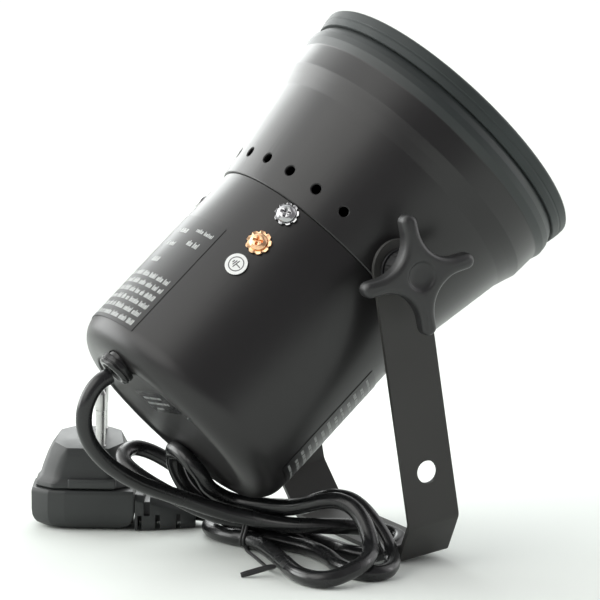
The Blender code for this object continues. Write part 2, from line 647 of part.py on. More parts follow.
left = yoke_path()
path = left + [(-y, z, h) for y, z, h in reversed(left)]
bm = bmesh.new()
rows = []
n = len(path)
for i, (y, z, h) in enumerate(path):
    y0, z0, _ = path[max(i - 1, 0)]
    y1, z1, _ = path[min(i + 1, n - 1)]
    d = Vector((y1 - y0, z1 - z0)).normalized()
    nx, nz = -d.y, d.x
    s = STRIP_T / 2
    if 0 < i < n - 1:
        da = Vector((y - y0, z - z0)).normalized()
        db = Vector((y1 - y, z1 - z)).normalized()
        s = s / max(0.5, sqrt((1 + da.dot(db)) / 2))
    rows.append([bm.verts.new(v) for v in ((h * MM, (y + nx * s) * MM, (z + nz * s) * MM), (-h * MM, (y + nx * s) * MM, (z + nz * s) * MM),
                                           (-h * MM, (y - nx * s) * MM, (z - nz * s) * MM), (h * MM, (y - nx * s) * MM, (z - nz * s) * MM))])
for a, c in zip(rows[:-1], rows[1:]):
    for j in range(4):
        bm.faces.new((a[j], a[(j + 1) % 4], c[(j + 1) % 4], c[j]))
bm.faces.new(rows[0])
bm.faces.new(rows[-1])
yoke = from_bmesh("yoke", bm)


def yoke_hole(name, d, m):
    cut(yoke, cutter(name, rod(d / 2, -6, 6, 24), YOKE, m))


for nm, sg in SIDES.items():
    T = Matrix.Translation((0, sg * mid * MM, 0)) @ Matrix.Rotation(pi / 2, 4, "X")
    yoke_hole("yoke_pivot_" + nm, PIVOT_HOLE_D, T)
    yoke_hole("yoke_arm_" + nm, ARM_HOLE_D, Matrix.Translation((0, sg * mid * MM, -ARM_HOLE_DOWN * MM)) @ Matrix.Rotation(pi / 2, 4, "X"))
yoke_hole("yoke_base", BASE_HOLE_D, Matrix.Translation((0, 0, -(BEND_DOWN + FACET_DOWN - 1.0) * MM)))
finish(yoke, "matt", YOKE, smooth=24)

# ---------------------------------------------------------------- lead: free runs
exit_local = Vector((BUSH_UP, BUSH_NEAR, CAN_REAR - BUSH_OUT - 1.5)) * MM
ex = (HEAD.matrix_basis @ exit_local) / MM
run = [tuple(ex), (PIVOT_X - 105.0, -10.3, 75.3), (PIVOT_X - 108.6, -10.2, 71.6), (PIVOT_X - 111.0, -9.9, 66.9), (PIVOT_X - 111.9, -9.0, 61.6),
       (PIVOT_X - 110.6, -7.6, 55.6), (PIVOT_X - 106.4, -5.3, 48.8), (PIVOT_X - 99.8, -3, 41.7), (PIVOT_X - 91.8, -1, 35.7), (PIVOT_X - 82.5, 1, 30.5),
       (PIVOT_X - 72.0, 3, 26.2), (PIVOT_X - 62.0, 4, 22.4), (PIVOT_X - 53.5, 4, 19.4)]
finish(tube("lead_run", run, CORD_D, 8, per=3), "pvc", smooth=60)

# coiled stretch, as the outer shape of the hank: two lobes joined by a waist under the tie
HA, HT, HB = Vector((PIVOT_X - 55.0, 27.0)), Vector((PIVOT_X - 31.5, 1.0)), Vector((PIVOT_X - 17.5, -49.0))
HANK_Z0, HANK_Z1 = 1.0, 20.6


def hank_outline():
    side_l, side_r = [], []
    N = 16
    pts = []
    for k in range(N + 1):
        t = k / N
        c = (1 - t) ** 2 * HA + 2 * t * (1 - t) * (2 * HT - 0.5 * (HA + HB)) + t * t * HB
        tan = (2 * (1 - t) * ((2 * HT - 0.5 * (HA + HB)) - HA) + 2 * t * (HB - (2 * HT - 0.5 * (HA + HB)))).normalized()
        pts.append((c, tan))
    for k, (c, tan) in enumerate(pts):
        t = k / N
        wid = 10.5 + 5.0 * max(0.0, cos(min(t / 0.42, 1.0) * pi / 2)) + 10.5 * max(0.0, sin(max(0.0, (t - 0.55) / 0.45) * pi / 2))
        nrm = Vector((-tan.y, tan.x))
        side_l.append(c + nrm * wid)
        side_r.append(c - nrm * wid)
    def cap(c, tan, wid, sgn):
        out = []
        nrm = Vector((-tan.y, tan.x))
        for k in range(1, 8):
            a = pi * k / 8
            out.append(c + nrm * (wid * cos(a)) * sgn + tan * (wid * sin(a)) * sgn)
        return out
    w0 = (side_l[0] - pts[0][0]).length
    w1 = (side_l[-1] - pts[-1][0]).length
    outline = side_l + cap(pts[-1][0], pts[-1][1], w1, 1) + side_r[::-1] + cap(pts[0][0], pts[0][1], w0, -1)
    return [(v.x, v.y) for v in outline]


hk = prism("lead_hank", hank_outline(), HANK_Z0, HANK_Z1)
bv = hk.modifiers.new("round", "BEVEL")
bv.width = 3.2 * MM
bv.segments = 1
bv.limit_method = "ANGLE"
bv.angle_limit = radians(50)
finish(hk, "pvc", smooth=50)

# wire tie round the waist of the hank
tie_c = (HT.x, HT.y)
tdir = (HB - HA).normalized()
tang = atan2(tdir.y, tdir.x)
tie = box("cable_tie", 3.0, 25.0, HANK_Z1 - HANK_Z0 + 1.8, (0, 0, (HANK_Z0 + HANK_Z1) / 2))
cut(tie, cutter("tie_hole", box("th", 6.0, 23.4, HANK_Z1 - HANK_Z0 + 0.6, (0, 0, (HANK_Z0 + HANK_Z1) / 2)), None,
                Matrix.Translation((tie_c[0] * MM, tie_c[1] * MM, 0)) @ Matrix.Rotation(tang, 4, "Z")))
finish(tie, "plastic", None, Matrix.Translation((tie_c[0] * MM, tie_c[1] * MM, 0)) @ Matrix.Rotation(tang, 4, "Z"))

# plug, lying on its back with the pins up
PL = Matrix.Translation((PLUG_C[0] * MM + PIVOT_X * MM, PLUG_C[1] * MM, 0)) @ Matrix.Rotation(radians(PLUG_YAW), 4, "Z")
PLF = empty("plug_frame", PL)


def octo(hx, hy, c, cx=0.0):
    pts_ = [(hx, -hy + c), (hx, hy - c), (hx - c, hy), (-hx + c, hy), (-hx, hy - c), (-hx, -hy + c), (-hx + c, -hy), (hx - c, -hy)]
    return [(x + cx, y) for x, y in pts_]


def loft(name, layers):
    bm_ = bmesh.new()
    rr = []
    for z, pts in layers:
        rr.append([bm_.verts.new((x * MM, y * MM, z * MM)) for x, y in pts])
    m_ = len(rr[0])
    for a_, c_ in zip(rr[:-1], rr[1:]):
        for j_ in range(m_):
            bm_.faces.new((a_[j_], a_[(j_ + 1) % m_], c_[(j_ + 1) % m_], c_[j_]))
    bm_.faces.new(rr[0])
    bm_.faces.new(rr[-1])
    return from_bmesh(name, bm_)


def base_outline(hx, hy, c):
    """Bevelled corners on the free end, nearly square ones where the cord grip starts."""
    return [(hx, -hy + 2), (hx, hy - 2), (hx - 2, hy), (-hx + c, hy), (-hx, hy - c), (-hx, -hy + c), (-hx + c, -hy), (hx - 2, -hy)]


finish(loft("plug_grip", [(0.1, base_outline(15.5, 12.0, 5.0)), (2.0, base_outline(18.8, 14.8, 6.0)), (5.5, base_outline(21.2, 16.8, 7.0)),
                          (15.2, base_outline(21.6, 17.2, 7.2)), (17.2, base_outline(21.0, 16.9, 7.2))]), "plastic", PLF)
body = loft("plug_body", [(17.5, octo(20.2, 16.2, 7.4)), (20.0, octo(20.2, 16.2, 7.4)), (29.0, octo(18.0, 15.6, 7.2, 1.2)),
                          (33.5, octo(16.4, 14.4, 6.6, 2.2)), (39.2, octo(11.2, 12.6, 4.6, 2.4))])
# the pin face slopes: it is 34.2 mm up at the front edge and 39.2 mm up at the back
cut(body, cutter("face_slope", box("fs", 60.0, 40.0, 20.0), PLF,
                 Matrix.Translation((0, -13.5 * MM, 34.2 * MM)) @ Matrix.Rotation(radians(12.0), 4, "X") @ Matrix.Translation((0, 10.0 * MM, 10.0 * MM))))
finish(body, "plastic", PLF)
for i, (y, foot) in enumerate(((-9.5, 35.95), (9.5, 39.5))):
    pin = turned("plug_pin_%s" % "ab"[i], [(0, 58.5), (1.4, 58.3), (2.4, 56.6), (2.4, foot), (0, foot)], 14)
    finish(pin, "steel", PLF, Matrix.Translation((7.0 * MM, y * MM, 0)), smooth=35)
gz = 7.0


def grip_section(y0, y1, top):
    """Section of the cord grip, as (y, z) points."""
    c = 2.2
    return [(y0 + c, 0.3), (y1 - c, 0.3), (y1, 0.3 + c), (y1, top - c), (y1 - c, top), (y0 + c, top), (y0, top - c), (y0, 0.3 + c)]


bg = bmesh.new()
sections = []
for x, y0, y1, top_ in ((21.95, -16.4, 14.0, 15.0), (28.0, -15.4, 11.5, 14.4), (34.0, -13.6, 9.2, 13.8), (40.0, -11.4, 7.4, 13.2), (46.6, -8.8, 6.0, 12.8)):
    sections.append([bg.verts.new((x * MM, y * MM, z * MM)) for y, z in grip_section(y0, y1, top_)])
for a_, c_ in zip(sections[:-1], sections[1:]):
    for j_ in range(8):
        bg.faces.new((a_[j_], a_[(j_ + 1) % 8], c_[(j_ + 1) % 8], c_[j_]))
bg.faces.new(sections[0])
bg.faces.new(sections[-1])
gt = from_bmesh("plug_cord_grip", bg)
cut(gt, cutter("grip_bore", rod(3.7, 20.0, 49.0), PLF, Matrix.Translation((0, 0, (gz + 0.6) * MM)) @ Matrix.Rotation(pi / 2, 4, "Y")))
for i, (x0, x1) in enumerate(((22.9, 24.6), (30.2, 32.1), (38.7, 40.5))):
    cut(gt, cutter("grip_slot_%d" % i, box("gs", x1 - x0, 60.0, 3.2, ((x0 + x1) / 2, 0, 0.8)), PLF))
    cut(gt, cutter("grip_side_%d" % i, box("gs", x1 - x0, 20.0, 7.6, ((x0 + x1) / 2, -16.4, 2.8)), PLF))
cut(gt, cutter("grip_top", box("gs", 2.2, 20.0, 12.0, (26.7, -22.6, 12.6)), PLF))
finish(gt, "plastic", PLF, smooth=35)
g_end = (PL @ Vector((47.2 * MM, 0, (gz + 0.6) * MM))) / MM
lead2 = [tuple(g_end), (g_end.x + 5.0, g_end.y - 3.0, 7.0), (g_end.x + 8.2, g_end.y - 7.5, 6.4), (g_end.x + 8.6, g_end.y - 13.0, 6.0),
         (g_end.x + 6.6, g_end.y - 18.5, 6.0), (g_end.x + 3.0, g_end.y - 22.5, 6.2)]
finish(tube("plug_lead", lead2, CORD_D, 8, per=3), "pvc", smooth=60)
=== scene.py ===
"""Looks of the mains pinspot light: finer meshes, finishes, the lead, the light and the camera.

Lengths in the constants are millimetres, angles are degrees; the scene is in metres.
"""
import json
import bpy
import bmesh
from math import sin, cos, tan, pi, radians, sqrt, atan2, hypot
from mathutils import Matrix, Vector


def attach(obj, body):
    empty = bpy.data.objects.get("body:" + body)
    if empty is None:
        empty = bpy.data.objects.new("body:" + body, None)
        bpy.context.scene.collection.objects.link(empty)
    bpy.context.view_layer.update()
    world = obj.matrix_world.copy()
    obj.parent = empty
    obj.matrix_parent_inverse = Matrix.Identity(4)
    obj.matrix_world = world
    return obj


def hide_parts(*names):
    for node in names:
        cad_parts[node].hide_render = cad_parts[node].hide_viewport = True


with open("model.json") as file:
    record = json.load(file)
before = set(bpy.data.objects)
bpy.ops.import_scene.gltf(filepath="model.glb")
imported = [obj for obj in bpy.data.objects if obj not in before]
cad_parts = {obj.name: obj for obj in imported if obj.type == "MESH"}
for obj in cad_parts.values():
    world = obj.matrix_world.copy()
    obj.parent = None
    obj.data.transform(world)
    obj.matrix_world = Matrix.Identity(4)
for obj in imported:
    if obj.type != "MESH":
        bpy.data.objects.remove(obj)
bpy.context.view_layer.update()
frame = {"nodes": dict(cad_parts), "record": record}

MM = 0.001
TILT, LEAN = 43.3, 9.8
PIVOT = Vector((3.76, 0.0, 121.636)) * MM

# ---------------------------------------------------------------- frames
t_ = radians(TILT)
AX = Vector((cos(t_), 0, sin(t_)))
UP = Vector((-sin(t_), 0, cos(t_)))
NEAR = Vector((0, -1, 0))


def basis(x, y, z, o):
    m = Matrix((x, y, z)).transposed().to_4x4()
    m.translation = o
    return m


HEAD = basis(UP, NEAR, AX, PIVOT)
YOKE = Matrix.Translation(PIVOT) @ Matrix.Rotation(-radians(LEAN), 4, "Y")


def radial(phi, station, twist=0.0):
    """Frame on the housing: Z points outwards at angle phi (0 = top, 90 = -Y), X runs forward."""
    p = radians(phi)
    z = Vector((cos(p), sin(p), 0))
    x = Vector((0, 0, 1))
    m = Matrix((x, z.cross(x), z)).transposed().to_4x4()
    m.translation = Vector((0, 0, station * MM))
    return HEAD @ m @ Matrix.Rotation(radians(twist), 4, "Z")


def side(sign):
    z = Vector((0, sign, 0))
    x = (Matrix.Rotation(-radians(LEAN + 3.0), 3, "Y") @ Vector((1, 0, 0))).normalized()
    return basis(x, z.cross(x), z, PIVOT)


# ---------------------------------------------------------------- camera
az, el, roll = radians(-25.88), radians(8.86), radians(0.81)
look = Vector((-sin(az) * cos(el), cos(az) * cos(el), -sin(el)))
flat = Vector((cos(az), sin(az), 0))
upright = flat.cross(look)
cam_x = flat * cos(roll) + upright * sin(roll)
cam_y = upright * cos(roll) - flat * sin(roll)
cam_data = bpy.data.cameras.new("camera")
cam_data.sensor_width = 36.0
cam_data.lens = 229.02
cam_data.clip_start = 0.05
cam_data.clip_end = 200.0
cam = bpy.data.objects.new("camera", cam_data)
bpy.context.scene.collection.objects.link(cam)
cam.matrix_world = basis(cam_x, cam_y, -look, Vector((-676.60, -1375.39, 339.58)) * MM)
bpy.context.scene.camera = cam
bpy.context.scene.view_settings.view_transform = "Standard"

# ---------------------------------------------------------------- materials


def surface(name, base, rough, metal=0.0, spec=0.5, coat=0.0, coat_rough=0.1, tint=(45, 0.10), rvar=(70, 0.05),
            bumps=(), glass=0.0, ior=1.5, sheen=0.0, stretch=(1, 1, 1), speck=None):
    """One Principled shader with drifting colour and roughness and one to three layers of fine relief.
    bumps: (texture, features per metre, height in mm, strength)."""
    m = bpy.data.materials.new(name)
    m.use_nodes = True
    nt = m.node_tree
    N, L = nt.nodes, nt.links
    b = N["Principled BSDF"]
    b.inputs["Metallic"].default_value = metal
    b.inputs["Specular IOR Level"].default_value = spec
    b.inputs["IOR"].default_value = ior
    b.inputs["Coat Weight"].default_value = coat
    b.inputs["Coat Roughness"].default_value = coat_rough
    b.inputs["Sheen Weight"].default_value = sheen
    b.inputs["Transmission Weight"].default_value = glass
    tc = N.new("ShaderNodeTexCoord")
    mp = N.new("ShaderNodeMapping")
    mp.inputs["Scale"].default_value = stretch
    L.new(tc.outputs["Object"], mp.inputs["Vector"])

    def noise(scale, detail=3.0):
        n = N.new("ShaderNodeTexNoise")
        n.inputs["Scale"].default_value = scale
        n.inputs["Detail"].default_value = detail
        L.new(mp.outputs["Vector"], n.inputs["Vector"])
        return n.outputs["Fac"]

    def ramp(src, a, c, lo, hi):
        r = N.new("ShaderNodeMapRange")
        r.inputs["From Min"].default_value = a
        r.inputs["From Max"].default_value = c
        r.inputs["To Min"].default_value = lo
        r.inputs["To Max"].default_value = hi
        L.new(src, r.inputs["Value"])
        return r.outputs["Result"]

    mix = N.new("ShaderNodeMix")
    mix.data_type = "RGBA"
    a = tint[1]
    mix.inputs[6].default_value = (*[max(0.0, c * (1 - a)) for c in base], 1)
    mix.inputs[7].default_value = (*[min(1.0, c * (1 + a)) for c in base], 1)
    L.new(ramp(noise(tint[0], 4.0), 0.3, 0.7, 0.0, 1.0), mix.inputs[0])
    colour = mix.outputs[2]
    if speck:
        rgb, scale, share = speck
        s = N.new("ShaderNodeMix")
        s.data_type = "RGBA"
        s.inputs[7].default_value = (*rgb, 1)
        L.new(colour, s.inputs[6])
        L.new(ramp(noise(scale, 1.0), 1 - share, 1 - share + 0.05, 0.0, 1.0), s.inputs[0])
        colour = s.outputs[2]
    L.new(colour, b.inputs["Base Color"])
    L.new(ramp(noise(rvar[0], 3.0), 0.3, 0.7, max(0.02, rough - rvar[1]), min(1.0, rough + rvar[1])), b.inputs["Roughness"])
    last = None
    for kind, scale, height, strength in bumps:
        if kind == "cells":
            t = N.new("ShaderNodeTexVoronoi")
            t.inputs["Scale"].default_value = scale
            L.new(mp.outputs["Vector"], t.inputs["Vector"])
            src = t.outputs["Distance"]
        else:
            src = noise(scale, 2.0)
        bp = N.new("ShaderNodeBump")
        bp.inputs["Distance"].default_value = height * MM
        bp.inputs["Strength"].default_value = strength
        L.new(src, bp.inputs["Height"])
        if last is not None:
            L.new(last, bp.inputs["Normal"])
        last = bp.outputs["Normal"]
    if last is not None:
        L.new(last, b.inputs["Normal"])
    return m


MAT = {
    "black_paint": surface("black_paint", (0.0100, 0.0094, 0.0098), 0.34, spec=0.5, tint=(22, 0.10), rvar=(35, 0.025),
                           bumps=(("noise", 900, 0.006, 0.5), ("noise", 120, 0.02, 0.35))),
    "band_paint": surface("band_paint", (0.020, 0.025, 0.025), 0.46, spec=0.5, tint=(30, 0.10), rvar=(40, 0.04),
                          bumps=(("noise", 1500, 0.010, 0.5), ("noise", 150, 0.02, 0.3))),
    "yoke_paint": surface("yoke_paint", (0.030, 0.0295, 0.028), 0.56, spec=0.45, tint=(30, 0.12), rvar=(60, 0.05),
                          bumps=(("cells", 1500, 0.012, 0.5), ("noise", 400, 0.012, 0.4))),
    "ring_rubber": surface("ring_rubber", (0.026, 0.032, 0.032), 0.58, spec=0.35, tint=(40, 0.15), rvar=(80, 0.06), sheen=0.05,
                           bumps=(("noise", 1600, 0.012, 0.5), ("noise", 200, 0.02, 0.3))),
    "lamp_glass": surface("lamp_glass", (0.97, 0.985, 0.98), 0.04, spec=0.5, glass=1.0, ior=1.47, tint=(15, 0.01), rvar=(60, 0.02),
                          bumps=(("cells", 260, 0.05, 0.5), ("noise", 60, 0.05, 0.3))),
    "lamp_mirror": surface("lamp_mirror", (0.86, 0.86, 0.87), 0.09, metal=1.0, tint=(40, 0.03), rvar=(90, 0.04),
                           bumps=(("noise", 180, 0.02, 0.4),)),
    "steel": surface("steel", (0.58, 0.58, 0.57), 0.30, metal=1.0, tint=(150, 0.10), rvar=(240, 0.08),
                     bumps=(("noise", 2200, 0.006, 0.5),)),
    "black_oxide": surface("black_oxide", (0.030, 0.030, 0.032), 0.34, metal=0.7, tint=(150, 0.15), rvar=(240, 0.08), bumps=(("noise", 1500, 0.006, 0.5),)),
    "iron": surface("iron", (0.12, 0.10, 0.09), 0.45, metal=0.6, tint=(120, 0.20), rvar=(160, 0.10), stretch=(1, 1, 8),
                    bumps=(("noise", 500, 0.05, 0.5),)),
    "winding": surface("winding", (0.50, 0.22, 0.07), 0.35, metal=0.4, tint=(100, 0.20), rvar=(300, 0.10), stretch=(1, 6, 1),
                       bumps=(("noise", 900, 0.08, 0.6),)),
    "brass": surface("brass", (0.72, 0.53, 0.24), 0.28, metal=1.0, tint=(160, 0.12), rvar=(200, 0.08), bumps=(("noise", 1800, 0.006, 0.5),)),
    "nylon": surface("nylon", (0.72, 0.71, 0.64), 0.45, tint=(60, 0.06), rvar=(90, 0.06), bumps=(("noise", 1200, 0.01, 0.5),)),
    "chrome": surface("chrome", (0.46, 0.46, 0.47), 0.13, metal=1.0, tint=(220, 0.05), rvar=(300, 0.06), bumps=(("noise", 1500, 0.004, 0.5),)),
    "copper": surface("copper", (0.93, 0.56, 0.33), 0.24, metal=1.0, tint=(260, 0.14), rvar=(300, 0.08), bumps=(("noise", 1500, 0.006, 0.5),)),
    "label_dark": surface("label_dark", (0.0085, 0.0085, 0.0090), 0.36, spec=0.5, tint=(40, 0.10), rvar=(60, 0.03),
                          bumps=(("noise", 260, 0.012, 0.4),)),
    "label_gloss": surface("label_gloss", (0.0045, 0.0045, 0.0050), 0.16, spec=0.42, tint=(40, 0.10), rvar=(60, 0.03), bumps=(("noise", 260, 0.012, 0.4),)),
    "label_ink": surface("label_ink", (0.10, 0.10, 0.105), 0.45, tint=(500, 0.06), rvar=(300, 0.04), bumps=(("noise", 1800, 0.004, 0.4),)),
    "bush_plastic": surface("bush_plastic", (0.0085, 0.0086, 0.0090), 0.22, spec=0.5, tint=(60, 0.12), rvar=(120, 0.05), bumps=(("noise", 900, 0.01, 0.4),)),
    "label_text": surface("label_text", (0.58, 0.60, 0.59), 0.45, tint=(900, 0.05), rvar=(300, 0.04), bumps=(("noise", 1800, 0.004, 0.4),)),
    "label_print": surface("label_print", (0.36, 0.37, 0.365), 0.45, tint=(900, 0.05), rvar=(300, 0.04), bumps=(("noise", 1800, 0.004, 0.4),)),
    "label_white": surface("label_white", (0.88, 0.89, 0.88), 0.38, tint=(200, 0.02), rvar=(200, 0.04), bumps=(("noise", 500, 0.006, 0.4),)),
    "label_grey": surface("label_grey", (0.30, 0.31, 0.31), 0.45, tint=(500, 0.06), rvar=(300, 0.04), bumps=(("noise", 1800, 0.004, 0.4),)),
    "black_plastic": surface("black_plastic", (0.017, 0.0172, 0.0178), 0.40, spec=0.5, tint=(60, 0.12), rvar=(120, 0.05),
                             bumps=(("cells", 2400, 0.012, 0.45), ("noise", 300, 0.015, 0.3))),
    "plug_plastic": surface("plug_plastic", (0.030, 0.0326, 0.0326), 0.42, spec=0.5, tint=(40, 0.12), rvar=(90, 0.05),
                            bumps=(("cells", 2000, 0.014, 0.5), ("noise", 160, 0.03, 0.3))),
    "black_pvc": surface("black_pvc", (0.0092, 0.0096, 0.0102), 0.25, spec=0.52, tint=(60, 0.15), rvar=(140, 0.05),
                         bumps=(("noise", 500, 0.02, 0.4), ("noise", 90, 0.06, 0.35))),
    "green_pvc": surface("green_pvc", (0.08, 0.36, 0.06), 0.28, tint=(80, 0.10), rvar=(150, 0.05), bumps=(("noise", 500, 0.02, 0.4),)),
    "blue_pvc": surface("blue_pvc", (0.04, 0.12, 0.46), 0.28, tint=(80, 0.10), rvar=(150, 0.05), bumps=(("noise", 500, 0.02, 0.4),)),
    "silicone": surface("silicone", (0.05, 0.05, 0.05), 0.6, tint=(80, 0.12), rvar=(150, 0.05), bumps=(("noise", 900, 0.02, 0.4),)),
}

# ---------------------------------------------------------------- mesh helpers
made = []


def fillet(points, seg=4):
    """Closed outline of (x, y, radius): each corner with a radius becomes an arc."""
    out = []
    n = len(points)
    for i, p in enumerate(points):
        f = p[2] if len(p) > 2 else 0.0
        P = Vector(p[:2])
        A, B = Vector(points[i - 1][:2]), Vector(points[(i + 1) % n][:2])
        u, v = A - P, B - P
        if f <= 0 or u.length < 1e-9 or v.length < 1e-9:
            out.append((P.x, P.y))
            continue
        lu, lv = u.length, v.length
        u, v = u / lu, v / lv
        ang = u.angle(v)
        if ang > pi - 0.03:
            out.append((P.x, P.y))
            continue
        d = min(f / tan(ang / 2), lu * 0.48, lv * 0.48)
        r = d * tan(ang / 2)
        c = P + (u + v).normalized() * (r / sin(ang / 2))
        s, e = P + u * d - c, P + v * d - c
        a0 = atan2(s.y, s.x)
        da = (atan2(e.y, e.x) - a0 + pi) % (2 * pi) - pi
        for k in range(seg + 1):
            t = a0 + da * k / seg
            out.append((c.x + r * cos(t), c.y + r * sin(t)))
    return out


def skin(bm, rings, closed=False):
    """Faces between rings of vertices; a ring of one vertex is a pole."""
    pairs = list(zip(rings[:-1], rings[1:]))
    if closed:
        pairs.append((rings[-1], rings[0]))
    for a, c in pairs:
        if len(a) == 1 and len(c) == 1:
            continue
        n = max(len(a), len(c))
        for k in range(n):
            j = (k + 1) % n
            if len(a) == 1:
                bm.faces.new((a[0], c[j], c[k]))
            elif len(c) == 1:
                bm.faces.new((a[k], a[j], c[0]))
            else:
                bm.faces.new((a[k], a[j], c[j], c[k]))


def lathe(profile, steps=96, ripple=None):
    """Closed profile of (radius, height) turned about local Z."""
    bm = bmesh.new()
    rings = []
    for r, z in profile:
        if r < 1e-6:
            rings.append([bm.verts.new((0, 0, z * MM))])
            continue
        ring = []
        for k in range(steps):
            a = 2 * pi * k / steps
            rr = ripple(r, z, a) if ripple else r
            ring.append(bm.verts.new((rr * cos(a) * MM, rr * sin(a) * MM, z * MM)))
        rings.append(ring)
    skin(bm, rings, closed=True)
    return bm


def slab(outline, z0, z1):
    bm = bmesh.new()
    lo = [bm.verts.new((x * MM, y * MM, z0 * MM)) for x, y in outline]
    hi = [bm.verts.new((x * MM, y * MM, z1 * MM)) for x, y in outline]
    skin(bm, [lo, hi])
    bm.faces.new(lo)
    bm.faces.new(hi)
    return bm


def stack(layers):
    """Closed skin through (height, outline) layers with the same number of points."""
    bm = bmesh.new()
    rings = [[bm.verts.new((x * MM, y * MM, z * MM)) for x, y in pts] for z, pts in layers]
    skin(bm, rings)
    bm.faces.new(rings[0])
    bm.faces.new(rings[-1])
    return bm


def pin(r, z0, z1, sides=48):
    return slab([(r * cos(2 * pi * k / sides), r * sin(2 * pi * k / sides)) for k in range(sides)], z0, z1)


def solid(name, bm, matrix=None):
    if matrix is not None:
        bm.transform(matrix)
    bmesh.ops.recalc_face_normals(bm, faces=bm.faces[:])
    me = bpy.data.meshes.new(name)
    bm.to_mesh(me)
    bm.free()
    o = bpy.data.objects.new(name, me)
    bpy.context.scene.collection.objects.link(o)
    return o


def settle(o):
    """The object's mesh with its modifiers applied."""
    me = bpy.data.meshes.new_from_object(o.evaluated_get(bpy.context.evaluated_depsgraph_get()))
    o.modifiers.clear()
    old = o.data
    o.data = me
    bpy.data.meshes.remove(old)
    return o


def carve(o, cutters, op="DIFFERENCE"):
    for i, bm in enumerate(cutters):
        c = solid("%s_cut_%d" % (o.name, i), bm)
        m = o.modifiers.new("cut", "BOOLEAN")
        m.operation = op
        m.solver = "EXACT"
        m.object = c
        bpy.context.view_layer.update()
        settle(o)
        bpy.data.objects.remove(c, do_unlink=True)
    return o


def moved(bm, matrix):
    bm.transform(matrix)
    return bm


def soften(o, width, angle=40, seg=3):
    m = o.modifiers.new("edge", "BEVEL")
    m.width = width * MM
    m.segments = seg
    m.limit_method = "ANGLE"
    m.angle_limit = radians(angle)
    m.harden_normals = False
    bpy.context.view_layer.update()
    return settle(o)


def place(o, body, slot, nodes=(), mats=None, smooth=30):
    o.data.materials.clear()
    for k in (mats or [slot]):
        o.data.materials.append(MAT[k])
    if smooth:
        for p in o.data.polygons:
            p.use_smooth = True
        o.data.set_sharp_from_angle(angle=radians(smooth))
    if nodes:
        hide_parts(*nodes)
    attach(o, body)
    made.append(o)
    return o


def through(points, per=8):
    """Points of a smooth line through the given points (Catmull-Rom)."""
    P = [Vector(p) for p in points]
    out = []
    n = len(P)
    for i in range(n - 1):
        p0, p1, p2, p3 = P[max(i - 1, 0)], P[i], P[i + 1], P[min(i + 2, n - 1)]
        for k in range(per):
            t = k / per
            out.append(0.5 * ((2 * p1) + (p2 - p0) * t + (2 * p0 - 5 * p1 + 4 * p2 - p3) * t * t + (3 * p1 - p0 - 3 * p2 + p3) * t * t * t))
    out.append(P[-1])
    return out


def wire(name, pts, d, radii=None, res=6):
    """Round wire along points in mm, as a curve object of one open line."""
    cu = bpy.data.curves.new(name, "CURVE")
    cu.dimensions = "3D"
    sp = cu.splines.new("POLY")
    sp.points.add(len(pts) - 1)
    for i, (q, v) in enumerate(zip(sp.points, pts)):
        q.co = (v[0] * MM, v[1] * MM, v[2] * MM, 1.0)
        q.radius = radii[i] if radii else 1.0
    cu.bevel_depth = d * MM / 2
    cu.bevel_resolution = res
    cu.use_fill_caps = True
    o = bpy.data.objects.new(name, cu)
    bpy.context.scene.collection.objects.link(o)
    return o


def as_mesh(o):
    bpy.context.view_layer.update()
    me = bpy.data.meshes.new_from_object(o.evaluated_get(bpy.context.evaluated_depsgraph_get()))
    name = o.name
    bpy.data.objects.remove(o, do_unlink=True)
    bm = bmesh.new()
    bm.from_mesh(me)
    bmesh.ops.remove_doubles(bm, verts=bm.verts[:], dist=0.00001)
    return solid(name, bm)


# ---------------------------------------------------------------- the lead: one line from the bush to the plug
OX = PIVOT.x / MM
TIE = Vector((-31.5, 1.0))
TIE_ALONG = Vector((37.5, -76.0)).normalized()
TIE_ACROSS = Vector((-TIE_ALONG.y, TIE_ALONG.x))


def at_tie(u, z, along=0.0):
    p = TIE + TIE_ACROSS * u + TIE_ALONG * along
    return (p.x, p.y, z)


